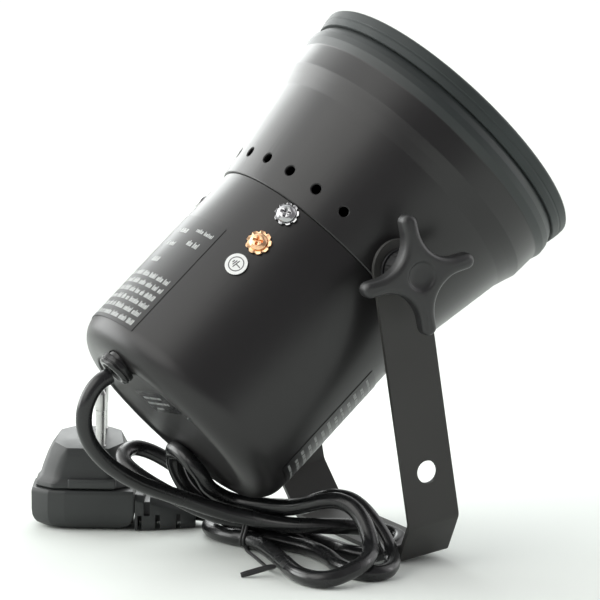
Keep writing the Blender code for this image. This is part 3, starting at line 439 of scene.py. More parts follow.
route = [
    # out of the bush, over and down behind the light
    (-100.9, -10.1, 77.4), (-105.0, -10.3, 75.3), (-108.4, -10.2, 71.6), (-110.6, -9.9, 66.9), (-111.3, -9.0, 61.6),
    (-110.2, -7.6, 55.6), (-106.4, -5.3, 48.8), (-99.8, -3.0, 41.7), (-91.8, -1.0, 35.7), (-82.5, 1.0, 30.5),
    (-72.0, 2.5, 26.0), (-62.0, 2.5, 22.2), (-53.5, 1.0, 18.9),
    # along the front of the bundle to its right-hand end and back along the floor
    (-45.0, -1.5, 16.0), (-37.5, -5.5, 14.2), (-30.5, -11.5, 12.9), (-22.0, -19.5, 12.5), (-14.3, -25.0, 12.9), (-6.5, -28.5, 12.7),
    (1.5, -29.5, 11.6), (8.6, -31.0, 10.4), (13.0, -34.4, 9.2), (13.6, -39.4, 8.2), (10.0, -44.6, 7.0), (3.6, -47.0, 5.6),
    (-2.2, -44.0, 3.8), (-6.0, -36.0, 3.45), (-8.0, -25.0, 3.45), (-13.0, -12.5, 4.8), (-20.5, -4.0, 9.0),
    # through the tie and round the left-hand loop
    at_tie(-0.6, 10.2, -3), (-40.0, 9.5, 11.4), (-48.0, 14.5, 14.0), (-57.0, 20.0, 18.5), (-66.0, 26.5, 24.0), (-72.0, 33.0, 28.8),
    (-73.4, 39.5, 32.2), (-70.5, 44.5, 34.6), (-65.0, 47.5, 35.4), (-58.5, 47.0, 33.6), (-52.5, 43.0, 30.2), (-45.5, 34.0, 24.6),
    (-38.0, 22.5, 18.4), (-31.5, 11.5, 14.6),
    # over the tie, outer arch on the right, back along the floor
    (-26.5, 3.0, 15.4), (-21.2, -6.0, 17.0), (-17.2, -15.5, 19.6), (-14.7, -24.0, 23.6), (-12.0, -32.0, 26.0), (-8.4, -38.0, 25.8),
    (-5.4, -43.0, 23.2), (-3.2, -48.0, 19.2), (-1.6, -53.0, 14.8), (-0.8, -58.5, 9.8), (-2.5, -65.0, 5.8), (-8.0, -71.0, 3.7),
    (-15.0, -71.5, 3.45), (-20.0, -65.0, 3.45), (-20.6, -53.0, 3.45), (-18.0, -38.0, 3.45), (-18.0, -23.0, 3.45), (-23.0, -9.0, 3.6),
    # through the tie, up and round behind the housing
    at_tie(3.2, 4.0, -1), (-30.0, 9.5, 3.8), (-32.0, 17.0, 5.2), (-37.5, 22.5, 10.4), (-44.0, 25.5, 15.4), (-50.5, 27.5, 21.5),
    (-54.8, 28.5, 29.8), (-57.0, 26.0, 37.0), (-59.4, 19.8, 39.6), (-59.4, 12.6, 39.2), (-57.6, 7.2, 36.0), (-54.4, 4.8, 31.4),
    (-50.8, 5.0, 26.0), (-44.4, 5.8, 21.4),
    # over the top, inner arch, and back to the tie along the front
    (-37.5, 4.0, 18.9), (-29.5, -7.0, 18.9), (-24.2, -18.0, 20.2), (-21.8, -29.0, 23.2), (-20.0, -37.0, 25.8), (-17.2, -43.5, 27.2),
    (-14.4, -48.5, 26.4), (-12.4, -53.0, 24.0), (-11.5, -58.0, 20.2), (-11.8, -63.0, 15.6), (-13.4, -67.5, 12.2), (-16.6, -72.0, 10.0),
    (-21.5, -75.4, 8.0), (-28.5, -77.0, 5.8), (-35.3, -77.1, 4.2), (-40.6, -72.5, 3.6), (-42.4, -62.0, 3.5), (-39.5, -45.0, 3.5),
    (-36.0, -27.0, 3.5), (-34.0, -12.0, 3.7), at_tie(-3.4, 4.0, -1),
    # the short end to the plug
    (-37.6, 7.0, 3.7), (-39.6, 14.0, 3.5), (-40.4, 22.0, 3.5), (-38.6, 30.0, 3.5), (-34.6, 37.0, 3.5), (-31.4, 42.6, 3.9),
    (-31.8, 47.4, 4.6), (-35.6, 50.4, 5.1), (-41.7, 53.2, 5.2),
]
line = through([(x + OX, y, z) for x, y, z in route], per=8)
LEAD_D = 6.6
lead = wire("mains_lead", line, LEAD_D, res=6)

# wire tie: two turns round the three lower strands, then its tail along the floor
strands = [(-0.6, 10.2), (3.2, 4.0), (-3.4, 4.0)]


def hull(angle, r):
    n = Vector((cos(angle), sin(angle)))
    c = max((Vector(s) for s in strands), key=lambda s: s.dot(n))
    return c + n * r


tie_pts = []
turns, per_turn = 2.0, 64
for k in range(int(turns * per_turn) + 1):
    a = radians(215) - 2 * pi * k / per_turn
    p = hull(a, 3.3 + 0.42)
    w = TIE + TIE_ACROSS * p.x + TIE_ALONG * (-1.9 + 2.9 * k / (turns * per_turn))
    tie_pts.append(Vector((w.x, w.y, max(p.y, 0.75))))
tail = [tuple(tie_pts[-1]), (-38.4, -6.0, 1.0), (-40.6, -18.0, 1.0), (-42.6, -29.0, 1.0), (-44.6, -39.0, 1.3), (-45.6, -45.5, 2.6), (-46.4, -49.2, 4.0),
        (-48.6, -49.6, 4.1), (-52.5, -48.2, 3.0), (-56.5, -46.8, 1.8), (-59.5, -45.8, 1.0)]
tie_line = tie_pts[:-1] + through(tail, per=6)
tie_line = [(p[0] + OX, p[1], p[2]) for p in tie_line]
n_tail = len(tie_line) - len(tie_pts)
radii = [1.0] * len(tie_line)
for i in range(len(tie_line)):
    k = i - (len(tie_line) - 26)
    if k > 0:
        radii[i] = 1.0 + 0.75 * sin(min(1.0, k / 14) * pi / 2) * (1.0 if k < 20 else 1.0 - 0.10 * (k - 20))
tie = place(as_mesh(wire("wire_tie", tie_line, 1.4, radii, res=3)), "head", "black_plastic", ("cable_tie",), smooth=40)

# ---------------------------------------------------------------- rear can
EDGE, RC = 12.0, 39.0
can = [(50.85, -7.3), (51.0, -7.42)]
for k in range(15):
    a = radians(90 * k / 14)
    can.append((RC + EDGE * cos(a), -85.6 - EDGE * sin(a)))
can += [(38.4, -97.58), (37.9, -97.42), (37.4, -97.08), (36.9, -96.94), (36.2, -96.9), (30.0, -96.9), (18.0, -96.9), (0.0, -96.9),
        (0.0, -95.8), (37.8, -95.8)]
for k in range(8):
    a = radians(90 * (7 - k) / 7)
    can.append((RC + 10.9 * cos(a), -85.6 - 10.9 * sin(a) + (0.1 if k == 0 else 0)))
can += [(49.9, -7.55), (50.15, -7.3)]
o = solid("rear_can_shell", lathe(can, 144), HEAD)
BUSH = HEAD @ Matrix.Translation(Vector((37.0, 10.1, -97.6)) * MM)
JOINTS = (40.8, 160.8, 280.8)
JOINT_AT = -12.3
carve(o, [moved(pin(6.55, -4, 6), BUSH)]
      + [moved(pin(2.35, 46, 56, 32), radial(a, JOINT_AT)) for a in JOINTS]
      + [moved(pin(2.35, 46, 56, 32), radial(40.3, -28.3))]
      + [moved(pin(1.85, 46, 56, 32), radial(a, -20.5)) for a in (-33.0, 147.0)])
place(o, "head", "black_paint", ("rear_can",), smooth=32)

# ---------------------------------------------------------------- front cone
cone = [(62.5, 64.4, 0.3), (63.3, 62.6, 2.0), (64.0, 60.6, 1.2), (64.2, 57.8, 1.6), (62.95, 54.2, 2.6), (62.4, 44.3, 2.4), (60.9, 40.3, 3.0),
        (59.3, 35.5, 6.0), (51.75, -6.75, 0.3), (51.4, -7.2, 0.15), (49.5, -7.2, 0), (49.5, -18.0, 0.3), (48.5, -18.0, 0.3), (48.5, -6.0, 0),
        (50.3, -5.2, 0), (58.3, 35.9, 5.0), (61.4, 44.9, 2.0), (61.9, 54.0, 2.0), (63.2, 58.0, 1.5), (63.0, 60.3, 1.0), (61.5, 64.4, 0.3)]
o = solid("front_cone_shell", lathe(fillet(cone, 5), 144), HEAD)
VENTS = [radial(59.2 - 15.65 * i, 2.6) @ Matrix.Translation((0, 0, 53.42 * MM)) @ Matrix.Rotation(radians(-10.13), 4, "Y") for i in range(9)]


def disc(r, n=32):
    return [(r * cos(2 * pi * k / n), r * sin(2 * pi * k / n)) for k in range(n)]


carve(o, [moved(stack([(-9, disc(2.05)), (-0.40, disc(2.05)), (0.0, disc(2.5)), (0.5, disc(3.1))]), v) for v in VENTS]
      + [moved(pin(3.5, 44, 60), radial(a, 0)) for a in (90, -90)]
      + [moved(pin(2.35, 46, 56, 32), radial(a, JOINT_AT)) for a in JOINTS])
place(o, "head", "black_paint", ("front_cone",), mats=["black_paint", "band_paint"], smooth=32)
for p in o.data.polygons:
    if (p.center - PIVOT).dot(AX) > 55.0 * MM:
        p.material_index = 1

# ---------------------------------------------------------------- rubber ring and lamp
ring = [(54.6, 72.0, 0.3), (55.4, 72.6, 0.5), (63.7, 72.6, 0.9), (64.7, 71.6, 0.8), (64.4, 68.6, 0.3), (64.1, 68.2, 0.2), (64.2, 67.4, 0.3),
        (63.6, 64.75, 0.4), (57.5, 64.75, 0.2), (57.5, 70.2, 0), (54.6, 70.2, 0.3)]
place(solid("rubber_ring", lathe(fillet(ring, 4), 160), HEAD), "head", "ring_rubber", ("lamp_retaining_ring",), smooth=35)


def sag(r, depth):
    return depth * (r / 54.2) ** 2


lens = [(0.0, 72.0)] + [(r, 72.0 - sag(r, 2.3)) for r in (6, 12, 18, 24, 30, 36, 42, 47, 51)] + [(53.6, 69.85), (54.2, 69.7), (56.6, 69.6), (57.0, 69.2),
        (57.0, 67.8), (56.6, 67.4), (53.5, 67.4)] + [(r, 69.0 - sag(r, 1.6)) for r in (47, 36, 24, 12)] + [(0.0, 69.0)]
place(solid("lens_glass", lathe(lens, 128), HEAD), "head", "lamp_glass", ("lamp_lens",), smooth=40)


def bowl(r, off=0.0):
    return 67.0 - 34.0 * (1 - (r / 57.0) ** 2) - off


refl = [(57.0, 67.1), (57.0, 65.6), (55.4, 65.0)] + [(r, bowl(r, 1.8)) for r in (50, 44, 38, 32, 26, 20, 14)]
refl += [(9.5, bowl(9.5, 3.4)), (0, bowl(9.5, 3.4)), (0, bowl(0) + 0.4)] + [(r, bowl(r)) for r in (6, 12, 18, 24, 30, 36, 42, 48, 52)]
refl += [(54.6, 65.9), (54.9, 67.1)]
place(solid("reflector_bowl", lathe(refl, 128), HEAD), "head", "lamp_mirror", ("lamp_reflector",), smooth=40)
shield = [(0, 60.0, 0), (6.3, 59.2, 1.2), (7.0, 56, 0.5), (7.0, 46, 0.6), (3.0, 44, 0.6), (3.0, 34.2, 0.2), (0, 34.2, 0)]
place(solid("lamp_shield", lathe(fillet(shield, 4), 64), HEAD), "head", "steel", ("lamp_filament_shield",), smooth=40)

# ---------------------------------------------------------------- screws and washers on the can


def star(name, slot, matrix, node, z0, bore, r0, r1, teeth=9):
    """External-tooth washer, its teeth twisted out of the plane."""
    bm = bmesh.new()
    t = 0.55
    lo, hi, li, hi_i = [], [], [], []
    per = 6
    for k in range(teeth * per):
        a = 2 * pi * k / (teeth * per)
        q = k % per
        r = r1 if q in (1, 2, 3, 4) else r0
        lift = {2: 0.05, 3: 0.2, 4: 0.4}.get(q, 0.0)
        for lst, zz, rr in ((lo, z0, r), (hi, z0 + t, r), (li, z0, bore), (hi_i, z0 + t, bore)):
            dz = lift if rr == r1 else 0.0
            dz = max(0.0, dz) if lst in (lo,) else dz
            lst.append(bm.verts.new((rr * cos(a) * MM, rr * sin(a) * MM, (zz + max(dz, 0.0)) * MM)))
    skin(bm, [lo, hi, hi_i, li], closed=True)
    place(soften(solid(name, bm, matrix), 0.08, 50, 1), "head", slot, (node,), smooth=30)


def pan(name, slot, matrix, node, seat, r, h, shaft, shaft_in):
    prof = [(0, seat + h, 0), (r * 0.62, seat + h * 0.95, 1.4), (r * 0.98, seat + h * 0.42, 1.0), (r, seat, 0.25), (shaft, seat, 0), (shaft, shaft_in, 0), (0, shaft_in, 0)]
    o = solid(name, lathe(fillet(prof, 5), 48), matrix)
    l, s = r * 0.62, r * 0.15
    cross = [(l, -s), (l, s), (s, s), (s, l), (-s, l), (-s, s), (-l, s), (-l, -s), (-s, -s), (-s, -l), (s, -l), (s, -s)]
    top = [(x, y) for x, y in cross]
    small = [(x * 0.45 if abs(x) > s * 1.5 else x * 0.6, y * 0.45 if abs(y) > s * 1.5 else y * 0.6) for x, y in cross]
    carve(o, [moved(stack([(seat + h * 0.12, small), (seat + h * 1.0, top), (seat + h + 1, top)]), matrix)])
    place(soften(o, 0.10, 45, 2), "head", slot, (node,), smooth=32)


for i, a in enumerate(JOINTS):
    star("case_washer_%d" % (i + 1), "chrome", radial(a, JOINT_AT, 12), "joint_washer_%d" % (i + 1), 51.3, 2.4, 4.25, 4.95)
    pan("case_screw_%d" % (i + 1), "chrome", radial(a, JOINT_AT, 20), "joint_screw_%d" % (i + 1), 52.0, 4.0, 1.9, 2.0, 44.2)
star("ground_washer", "copper", radial(40.3, -28.3, 5), "earth_washer", 51.3, 2.4, 4.6, 5.2)
pan("ground_screw", "copper", radial(40.3, -28.3, 20), "earth_screw", 52.0, 3.75, 1.9, 2.0, 42.6)
for i, a in enumerate((-33.0, 147.0)):
    prof = [(0, 53.0, 0), (2.0, 52.85, 0.8), (3.0, 52.2, 0.5), (3.0, 51.35, 0.1), (1.5, 51.35, 0), (1.5, 43.2, 0.2), (0, 43.2, 0)]
    place(solid("frame_screw_%d" % (i + 1), lathe(fillet(prof, 4), 40), radial(a, -20.5)), "head", "steel", ("bracket_screw_%d" % (i + 1),), smooth=40)

# ---------------------------------------------------------------- labels


def wrap(bm, p0, p1, s0, s1, r0, r1, n):
    """Closed thin plate bent round the can between two angles and two stations."""
    rows = []
    for k in range(n + 1):
        p = radians(p0 + (p1 - p0) * k / n)
        rows.append([bm.verts.new((r * cos(p) * MM, r * sin(p) * MM, s * MM)) for r, s in ((r0, s0), (r1, s0), (r1, s1), (r0, s1))])
    for a, c in zip(rows[:-1], rows[1:]):
        for j in range(4):
            bm.faces.new((a[j], a[(j + 1) % 4], c[(j + 1) % 4], c[j]))
    bm.faces.new(rows[0])
    bm.faces.new(rows[-1])


def plate(bm, x0, x1, y0, y1, z0, z1):
    v = [bm.verts.new((x * MM, y * MM, z * MM)) for z in (z0, z1) for x, y in ((x0, y0), (x1, y0), (x1, y1), (x0, y1))]
    for f in ((0, 1, 2, 3), (4, 5, 6, 7), (0, 1, 5, 4), (1, 2, 6, 5), (2, 3, 7, 6), (3, 0, 4, 7)):
        bm.faces.new([v[i] for i in f])


def blocks(total, seed, size=0.50, gap=0.36):
    """Start and end of small blocks set in groups, filling a line of the given length: a bare stand-in for a line of print."""
    x, k, out = 0.0, seed, []
    while x < total - size:
        group = 3 + (k * 7 + 2) % 6
        for i in range(group):
            wd = size * (0.75 if (k + i) % 3 else 1.2)
            if x + wd > total:
                return out
            out.append((x, x + wd))
            x += wd + gap
        x += 0.9
        k += 1
    return out


def round_lines(name, node_slot, rows, r):
    """Rows of (station, height, start angle, end angle, seed): print that runs round the can."""
    bm = bmesh.new()
    for station, height, start, end, seed in rows:
        span = abs(end - start)
        sg = 1 if end > start else -1
        for a, c in blocks(radians(span) * r, seed):
            p, q = start + sg * a / radians(1) / r, start + sg * c / radians(1) / r
            h = height * (0.72 if int(a * 10) % 3 else 1.0)
            wrap(bm, p, q, station - height / 2, station - height / 2 + h, r - 0.02, r + 0.035, 1)
            if int(a * 7) % 2:                      # the last step of the loop, so every block is drawn whole
                continue
    return solid(name, bm, HEAD)


bm = bmesh.new()
wrap(bm, -46.0, 22.3, -87.0, -31.5, 51.08, 51.22, 60)
place(solid("rating_sticker", bm, HEAD), "head", "label_dark", ("rating_label",), smooth=30)
rows = [(-84.0 + 4.25 * i, 2.5, 19.6 - 0.5 * (i % 2), -41.0 + 7 * (i % 3), i) for i in range(6)]
rows += [(-37.2, 1.9, 19.5, 7.0, 2), (-43.6, 2.7, 16.5, 8.0, 5), (-39.3, 2.2, 1.0, -8.0, 3), (-46.4, 2.2, 0.0, -8.0, 7), (-55.2, 2.4, -1.0, -9.0, 9)]
place(round_lines("rating_print", "label_white", rows, 51.22), "head", "label_white", mats=["label_text"], smooth=0)
bm = bmesh.new()
wrap(bm, 128.5, 168.0, -84.0, -30.0, 51.08, 51.22, 40)
place(solid("lower_sticker", bm, HEAD), "head", "label_dark", ("underside_label",), smooth=30)
bm = bmesh.new()
for i in range(13):                     # lines of print that run round the can
    h = 1.5 if i % 4 else 1.1
    for a, c in blocks(radians(34.0 - 9.0 * ((i * 5) % 3)) * 51.2, i + 3, 0.55, 0.34):
        p = 131.0 + 2.0 * (i % 2)
        wrap(bm, p + a / 51.2 / radians(1), p + c / 51.2 / radians(1), -81.5 + 3.9 * i, -81.5 + 3.9 * i + h, 51.20, 51.255, 1)
place(solid("lower_print", bm, HEAD), "head", "label_white", mats=["label_print"], smooth=0)

REAR = HEAD @ Matrix.Translation(Vector((14.5, 11.8, -97.35)) * MM) @ Matrix.Rotation(radians(-11), 4, "Z")
o = solid("rear_sticker", slab(fillet([(-6, -19, 0.6), (6, -19, 0.6), (6, 19, 0.6), (-6, 19, 0.6)], 4), 0.26, 0.44), REAR)
place(o, "head", "label_dark", ("rear_label",), mats=["label_gloss"], smooth=30)
bm = bmesh.new()
for i, (h, ln, off) in enumerate(((1.2, 24.0, 1.0), (1.2, 29.0, 0.0), (1.0, 9.0, 5.0))):
    x = 2.2 - 3.1 * i
    for a, c in blocks(ln, i + 1, 0.7, 0.7):
        plate(bm, x - h / 2, x + h / 2, -16.0 + off + a, -16.0 + off + c, 0.22, 0.27)
place(solid("rear_print", bm, REAR), "head", "label_white", mats=["label_print"], smooth=0)

EL = radial(39.4, -40.7)


def disc_profile(r, z0, z1, c=0.05):
    return [(0, z1), (r - c, z1), (r, z1 - c), (r, z0), (0, z0)]


place(solid("earth_disc", lathe(disc_profile(4.62, 51.55, 51.8), 64), EL), "head", "label_white", ("earth_label",), smooth=40)
bm = lathe([(2.85, 51.78), (3.25, 51.78), (3.25, 51.84), (2.85, 51.84)], 64)
turn = Matrix.Rotation(radians(170), 4, "Z")
sym = bmesh.new()
for x0, x1, y0, y1 in ((-0.22, 0.22, 0.2, 2.5), (-1.8, 1.8, -0.22, 0.22), (-1.2, 1.2, -1.05, -0.61), (-0.6, 0.6, -1.88, -1.44)):
    plate(sym, x0, x1, y0, y1, 51.78, 51.84)
sym.transform(turn)
tmp = bpy.data.meshes.new("tmp")
sym.to_mesh(tmp)
sym.free()
bm.from_mesh(tmp)
bpy.data.meshes.remove(tmp)
place(solid("earth_mark", bm, EL), "head", "label_white", mats=["label_ink"], smooth=0)

# ---------------------------------------------------------------- bush
bush = [(3.65, 8.5, 0.2), (5.6, 8.5, 0.3), (6.2, 7.9, 0.3), (6.2, -0.35, 0), (7.5, -0.35, 0.3), (7.5, -2.3, 0.2), (7.1, -2.5, 0.15), (7.1, -2.9, 0.15),
        (7.4, -3.1, 0.2), (7.3, -3.7, 0.5), (6.3, -4.6, 0.6), (4.9, -4.6, 0.5), (3.65, -3.2, 0.3)]


def bush_wedges(r, z, a):
    """Two flats of the split bush, under its rim."""
    if z < -0.4 and r > 6.8:
        f = max(0.0, cos(2 * (a - radians(20)))) ** 6
        return r - 0.55 * f
    return r


place(solid("lead_bush", lathe(fillet(bush, 4), 96, bush_wedges), BUSH), "head", "black_plastic", ("strain_relief",), mats=["bush_plastic"], smooth=35)
pip = lathe([(0.0, 0.55), (0.5, 0.45), (0.85, 0.15), (0.95, -0.3), (0.0, -0.3)], 24)
# The raised pip catches light by its shape; its lighter band paint adds a painted highlight so that it shows as a light
# dot.
place(solid("can_pip", pip, HEAD @ Matrix.Translation(Vector((12.0, 38.7, -97.5)) * MM) @ Matrix.Rotation(pi, 4, "X")), "head", "black_paint", mats=["band_paint"], smooth=40)

# ---------------------------------------------------------------- knobs, washers, spacers, studs
TIP, TIP_R, VALLEY = 24.4, 3.1, 10.4
rc = (TIP_R * sqrt(2) - VALLEY) / (1 - sqrt(2))
cc = TIP_R + rc


def lobes(off, n_tip=16, n_val=30):
    """Outline of the star, drawn in by off."""
    out = []
    for q in range(4):
        a0 = q * pi / 2
        pts = []
        for k in range(n_tip):
            t = -pi / 2 + pi * k / n_tip
            pts.append((TIP - TIP_R + (TIP_R - off) * cos(t), (TIP_R - off) * sin(t)))
        for k in range(n_val):
            t = -pi / 2 - (pi / 2) * k / n_val
            pts.append((cc + (rc + off) * cos(t), cc + (rc + off) * sin(t)))
        out += [(x * cos(a0) - y * sin(a0), x * sin(a0) + y * cos(a0)) for x, y in pts]
    return out


def knob(name, sign, node, body):
    bm = bmesh.new()
    n = len(lobes(0))
    rings = []

    def add(pts, z):
        rings.append([bm.verts.new((x * MM, y * MM, (z(x, y) if callable(z) else z) * MM)) for x, y in pts])

    ang = [atan2(y, x) for x, y in lobes(1.4)]

    def circle(r, z, rib=0.0):
        add([((r + rib * (0.5 + 0.5 * cos(30 * a))) * cos(a), (r + rib * (0.5 + 0.5 * cos(30 * a))) * sin(a)) for a in ang], z)

    E, E2 = 2.3, 1.2            # rounding of the front and of the back edges
    mid_out, back_out = lobes(E), lobes(E2)

    def crown(x, y):
        """The top face falls off a little towards the tips."""
        r = hypot(x, y)
        return 81.2 - 0.9 * max(0.0, (r - 9.0) / 15.4) ** 1.6

    rings.append([bm.verts.new((0, 0, 71.3 * MM))])
    circle(3.3, 71.3)
    circle(3.3, 63.8)
    circle(7.3, 63.8)
    circle(7.9, 64.3, 0.15)
    circle(8.0, 66.0, 0.45)
    circle(8.0, 72.0, 0.45)
    circle(8.5, 73.3, 0.3)
    # underside of the lobes
    for f in (0.35, 0.7):
        add([(x * f + 8.9 * cos(a) * (1 - f), y * f + 8.9 * sin(a) * (1 - f)) for (x, y), a in zip(back_out, ang)], 73.6)
    for k in range(6):
        t = pi / 2 * k / 5
        add(lobes(E2 * (1 - sin(t))), 73.6 + E2 * (1 - cos(t)))
    for k in range(7):
        t = pi / 2 * k / 6
        rings.append([bm.verts.new((x * MM, y * MM, (crown(*p0) - E + E * sin(t)) * MM)) for (x, y), p0 in zip(lobes(E * (1 - cos(t))), lobes(0.0))])
    for f in (0.8, 0.6, 0.4, 0.2):
        pts = [(x * f + 6.6 * cos(a) * (1 - f), y * f + 6.6 * sin(a) * (1 - f)) for (x, y), a in zip(mid_out, ang)]
        add(pts, crown)
    circle(6.6, 81.2)
    circle(6.15, 81.1)
    circle(5.8, 80.85)
    circle(5.4, 80.3)
    circle(4.8, 80.0)
    circle(2.4, 79.85)
    rings.append([bm.verts.new((0, 0, 79.8 * MM))])
    skin(bm, rings)
    place(solid(name, bm, side(sign)), body, "black_plastic", (node,), smooth=38)
    return n


for nm, sg in (("near", -1), ("far", 1)):
    F = side(sg)
    knob("star_knob_" + nm, sg, "knob_" + nm, "knob_" + nm)
    w_ = [(3.3, 62.3, 0.1), (8.6, 62.3, 0.25), (8.6, 63.5, 0.35), (3.3, 63.5, 0.1)]
    place(solid("flat_washer_" + nm, lathe(fillet(w_, 3), 64), F), "clamp_washer_" + nm, "steel", ("knob_washer_" + nm,), mats=["black_oxide"], smooth=40)
    s_ = [(3.3, 54.6, 0.2), (7.2, 54.6, 0.5), (6.9, 57.1, 0.6), (7.2, 59.7, 0.5), (3.3, 59.7, 0.2)]
    place(solid("spacer_sleeve_" + nm, lathe(fillet(s_, 4), 64), F), "head", "silicone", ("spacer_" + nm,), smooth=40)
    thread = []
    z = 44.2
    while z < 60.0:                         # thread drawn as fine grooves of the 1 mm pitch
        thread += [(3.0, z), (3.0, z + 0.25), (2.62, z + 0.5), (2.62, z + 0.75)]
        z += 1.0
    st = [(0, 71.0), (2.7, 71.0), (3.0, 70.7)] + [(3.0, 61.0)] + thread[::-1] + [(2.9, 44.0), (2.5, 43.4), (0, 43.4)]
    place(solid("thread_stud_" + nm, lathe(st, 48), F), "knob_" + nm, "steel", ("stud_" + nm,), smooth=30)

# ---------------------------------------------------------------- yoke
HALF, THK, HW = 62.0, 2.0, 11.2
mid = HALF - THK / 2
top = HW + 1.0
BEND, F_IN, F_DN = 103.3, 14.4, 18.2


def half_yoke():
    pts = []
    for k in range(19):
        t = radians(4 + 86 * k / 18)
        pts.append((-mid, top * cos(t), HW * sin(t)))
    for z in (-10.0, -25.0, -40.0, -55.0, -75.0, -90.0):
        pts.append((-mid, z, HW))
    fdn = F_DN - THK / 2
    ang = atan2(F_IN, fdn)
    rb = 4.0
    l1 = rb * tan(ang / 2)
    for k in range(9):
        t = ang * k / 8
        pts.append((-mid + rb * (1 - cos(t)), -BEND - rb * sin(t) + l1, HW))
    fb = (-mid + F_IN, -(BEND + fdn))
    ang2 = pi / 2 - ang
    l2 = rb * tan(ang2 / 2)
    p_in = (fb[0] - l2 * sin(ang), fb[1] + l2 * cos(ang))
    cx, cz = p_in[0] + rb * cos(ang), p_in[1] + rb * sin(ang)
    for k in range(9):
        t = ang + ang2 * k / 8
        pts.append((cx - rb * cos(t), cz - rb * sin(t), HW))
    for y in (-38.0, -30.0, -20.0, -10.0):
        pts.append((y, fb[1], HW))
    return pts


left = half_yoke()
path = left + [(0.0, left[-1][1], HW)] + [(-y, z, h) for y, z, h in reversed(left)]
bm = bmesh.new()
rings = []
for i, (y, z, h) in enumerate(path):
    y0, z0, _ = path[max(i - 1, 0)]
    y1, z1, _ = path[min(i + 1, len(path) - 1)]
    d = Vector((y1 - y0, z1 - z0)).normalized()
    nx, nz = -d.y, d.x
    s = THK / 2
    if 0 < i < len(path) - 1:
        da, db = Vector((y - y0, z - z0)).normalized(), Vector((y1 - y, z1 - z)).normalized()
        s /= max(0.5, sqrt((1 + da.dot(db)) / 2))
    rings.append([bm.verts.new(v) for v in ((h * MM, (y + nx * s) * MM, (z + nz * s) * MM), (-h * MM, (y + nx * s) * MM, (z + nz * s) * MM),
                                            (-h * MM, (y - nx * s) * MM, (z - nz * s) * MM), (h * MM, (y - nx * s) * MM, (z - nz * s) * MM))])
skin(bm, rings)
bm.faces.new(rings[0])
bm.faces.new(rings[-1])
o = solid("yoke_strip", bm, YOKE)
turn_y = Matrix.Rotation(pi / 2, 4, "X")
cuts = []
for sg in (-1, 1):
    cuts.append(moved(pin(3.5, -6, 6), YOKE @ Matrix.Translation((0, sg * mid * MM, 0)) @ turn_y))
    cuts.append(moved(pin(4.6, -6, 6), YOKE @ Matrix.Translation((0, sg * mid * MM, -0.083)) @ turn_y))
cuts.append(moved(pin(5.25, -6, 6), YOKE @ Matrix.Translation((0, 0, -(BEND + F_DN - 1.0) * MM))))
carve(o, cuts)
place(soften(o, 0.3, 42, 3), "yoke", "yoke_paint", ("yoke",), smooth=30)

# ---------------------------------------------------------------- plug
PL = Matrix.Translation(Vector((-77.5 + OX, 71.0, 0)) * MM) @ Matrix.Rotation(radians(-25.9), 4, "Z")


def octo(hx, hy, c, cx=0.0, f=1.2):
    pts = [(hx, -hy + c), (hx, hy - c), (hx - c, hy), (-hx + c, hy), (-hx, hy - c), (-hx, -hy + c), (-hx + c, -hy), (hx - c, -hy)]
    return fillet([(x + cx, y, f) for x, y in pts], 4)


def base_outline(hx, hy, c, f=1.0):
    """Bevelled corners on the free end, a second low bevel on the long sides, square corners at the cord grip."""
    return fillet([(hx, -hy, f), (hx, hy, f), (-hx + c + 7.0, hy, f), (-hx + c, hy - 1.2, f), (-hx, hy - c, f), (-hx, -hy + c, f), (-hx + c, -hy + 1.2, f),
                   (-hx + c + 7.0, -hy, f)], 4)


o = solid("plug_base", stack([(0.1, base_outline(14.6, 11.2, 4.8)), (0.5, base_outline(15.5, 12.0, 5.0)), (1.2, base_outline(17.2, 13.4, 5.6)),
                              (2.4, base_outline(19.3, 15.2, 6.2)), (3.8, base_outline(20.5, 16.2, 6.7)), (5.5, base_outline(21.2, 16.8, 7.0)),
                              (8.0, base_outline(21.5, 17.1, 7.1)), (15.2, base_outline(21.6, 17.2, 7.2)), (16.2, base_outline(21.5, 17.1, 7.2)),
                              (16.9, base_outline(21.1, 16.7, 7.1)), (17.2, base_outline(20.5, 16.1, 6.9))]), PL)
place(o, "head", "black_plastic", ("plug_grip",), mats=["plug_plastic"], smooth=30)
o = solid("plug_shell", stack([(17.5, octo(19.8, 15.2, 7.2, 0.0, 3.0)), (18.0, octo(20.1, 15.6, 7.4, 0.0, 3.0)), (19.6, octo(19.9, 15.5, 7.4, 0.1, 3.4)),
                               (20.8, octo(19.0, 14.8, 7.4, 0.3, 4.5)), (22.4, octo(18.6, 14.5, 7.6, 0.5, 6.5)), (26.0, octo(17.9, 14.3, 7.6, 0.9, 6.5)),
                               (30.5, octo(16.8, 14.0, 7.4, 1.5, 5.5)), (33.4, octo(15.8, 13.6, 6.8, 2.0, 2.0)), (38.5, octo(12.6, 11.8, 5.2, 2.4, 0.8)),
                               (39.2, octo(11.8, 11.0, 5.0, 2.4, 0.6))]), PL)
slope = Matrix.Translation(Vector((0, -13.5, 34.3)) * MM) @ Matrix.Rotation(radians(12.0), 4, "X")
bm = bmesh.new()
plate(bm, -30, 30, -12, 30, 0, 20)
carve(o, [moved(bm, PL @ slope)])
place(soften(o, 0.45, 24, 3), "head", "black_plastic", ("plug_body",), mats=["plug_plastic"], smooth=20)
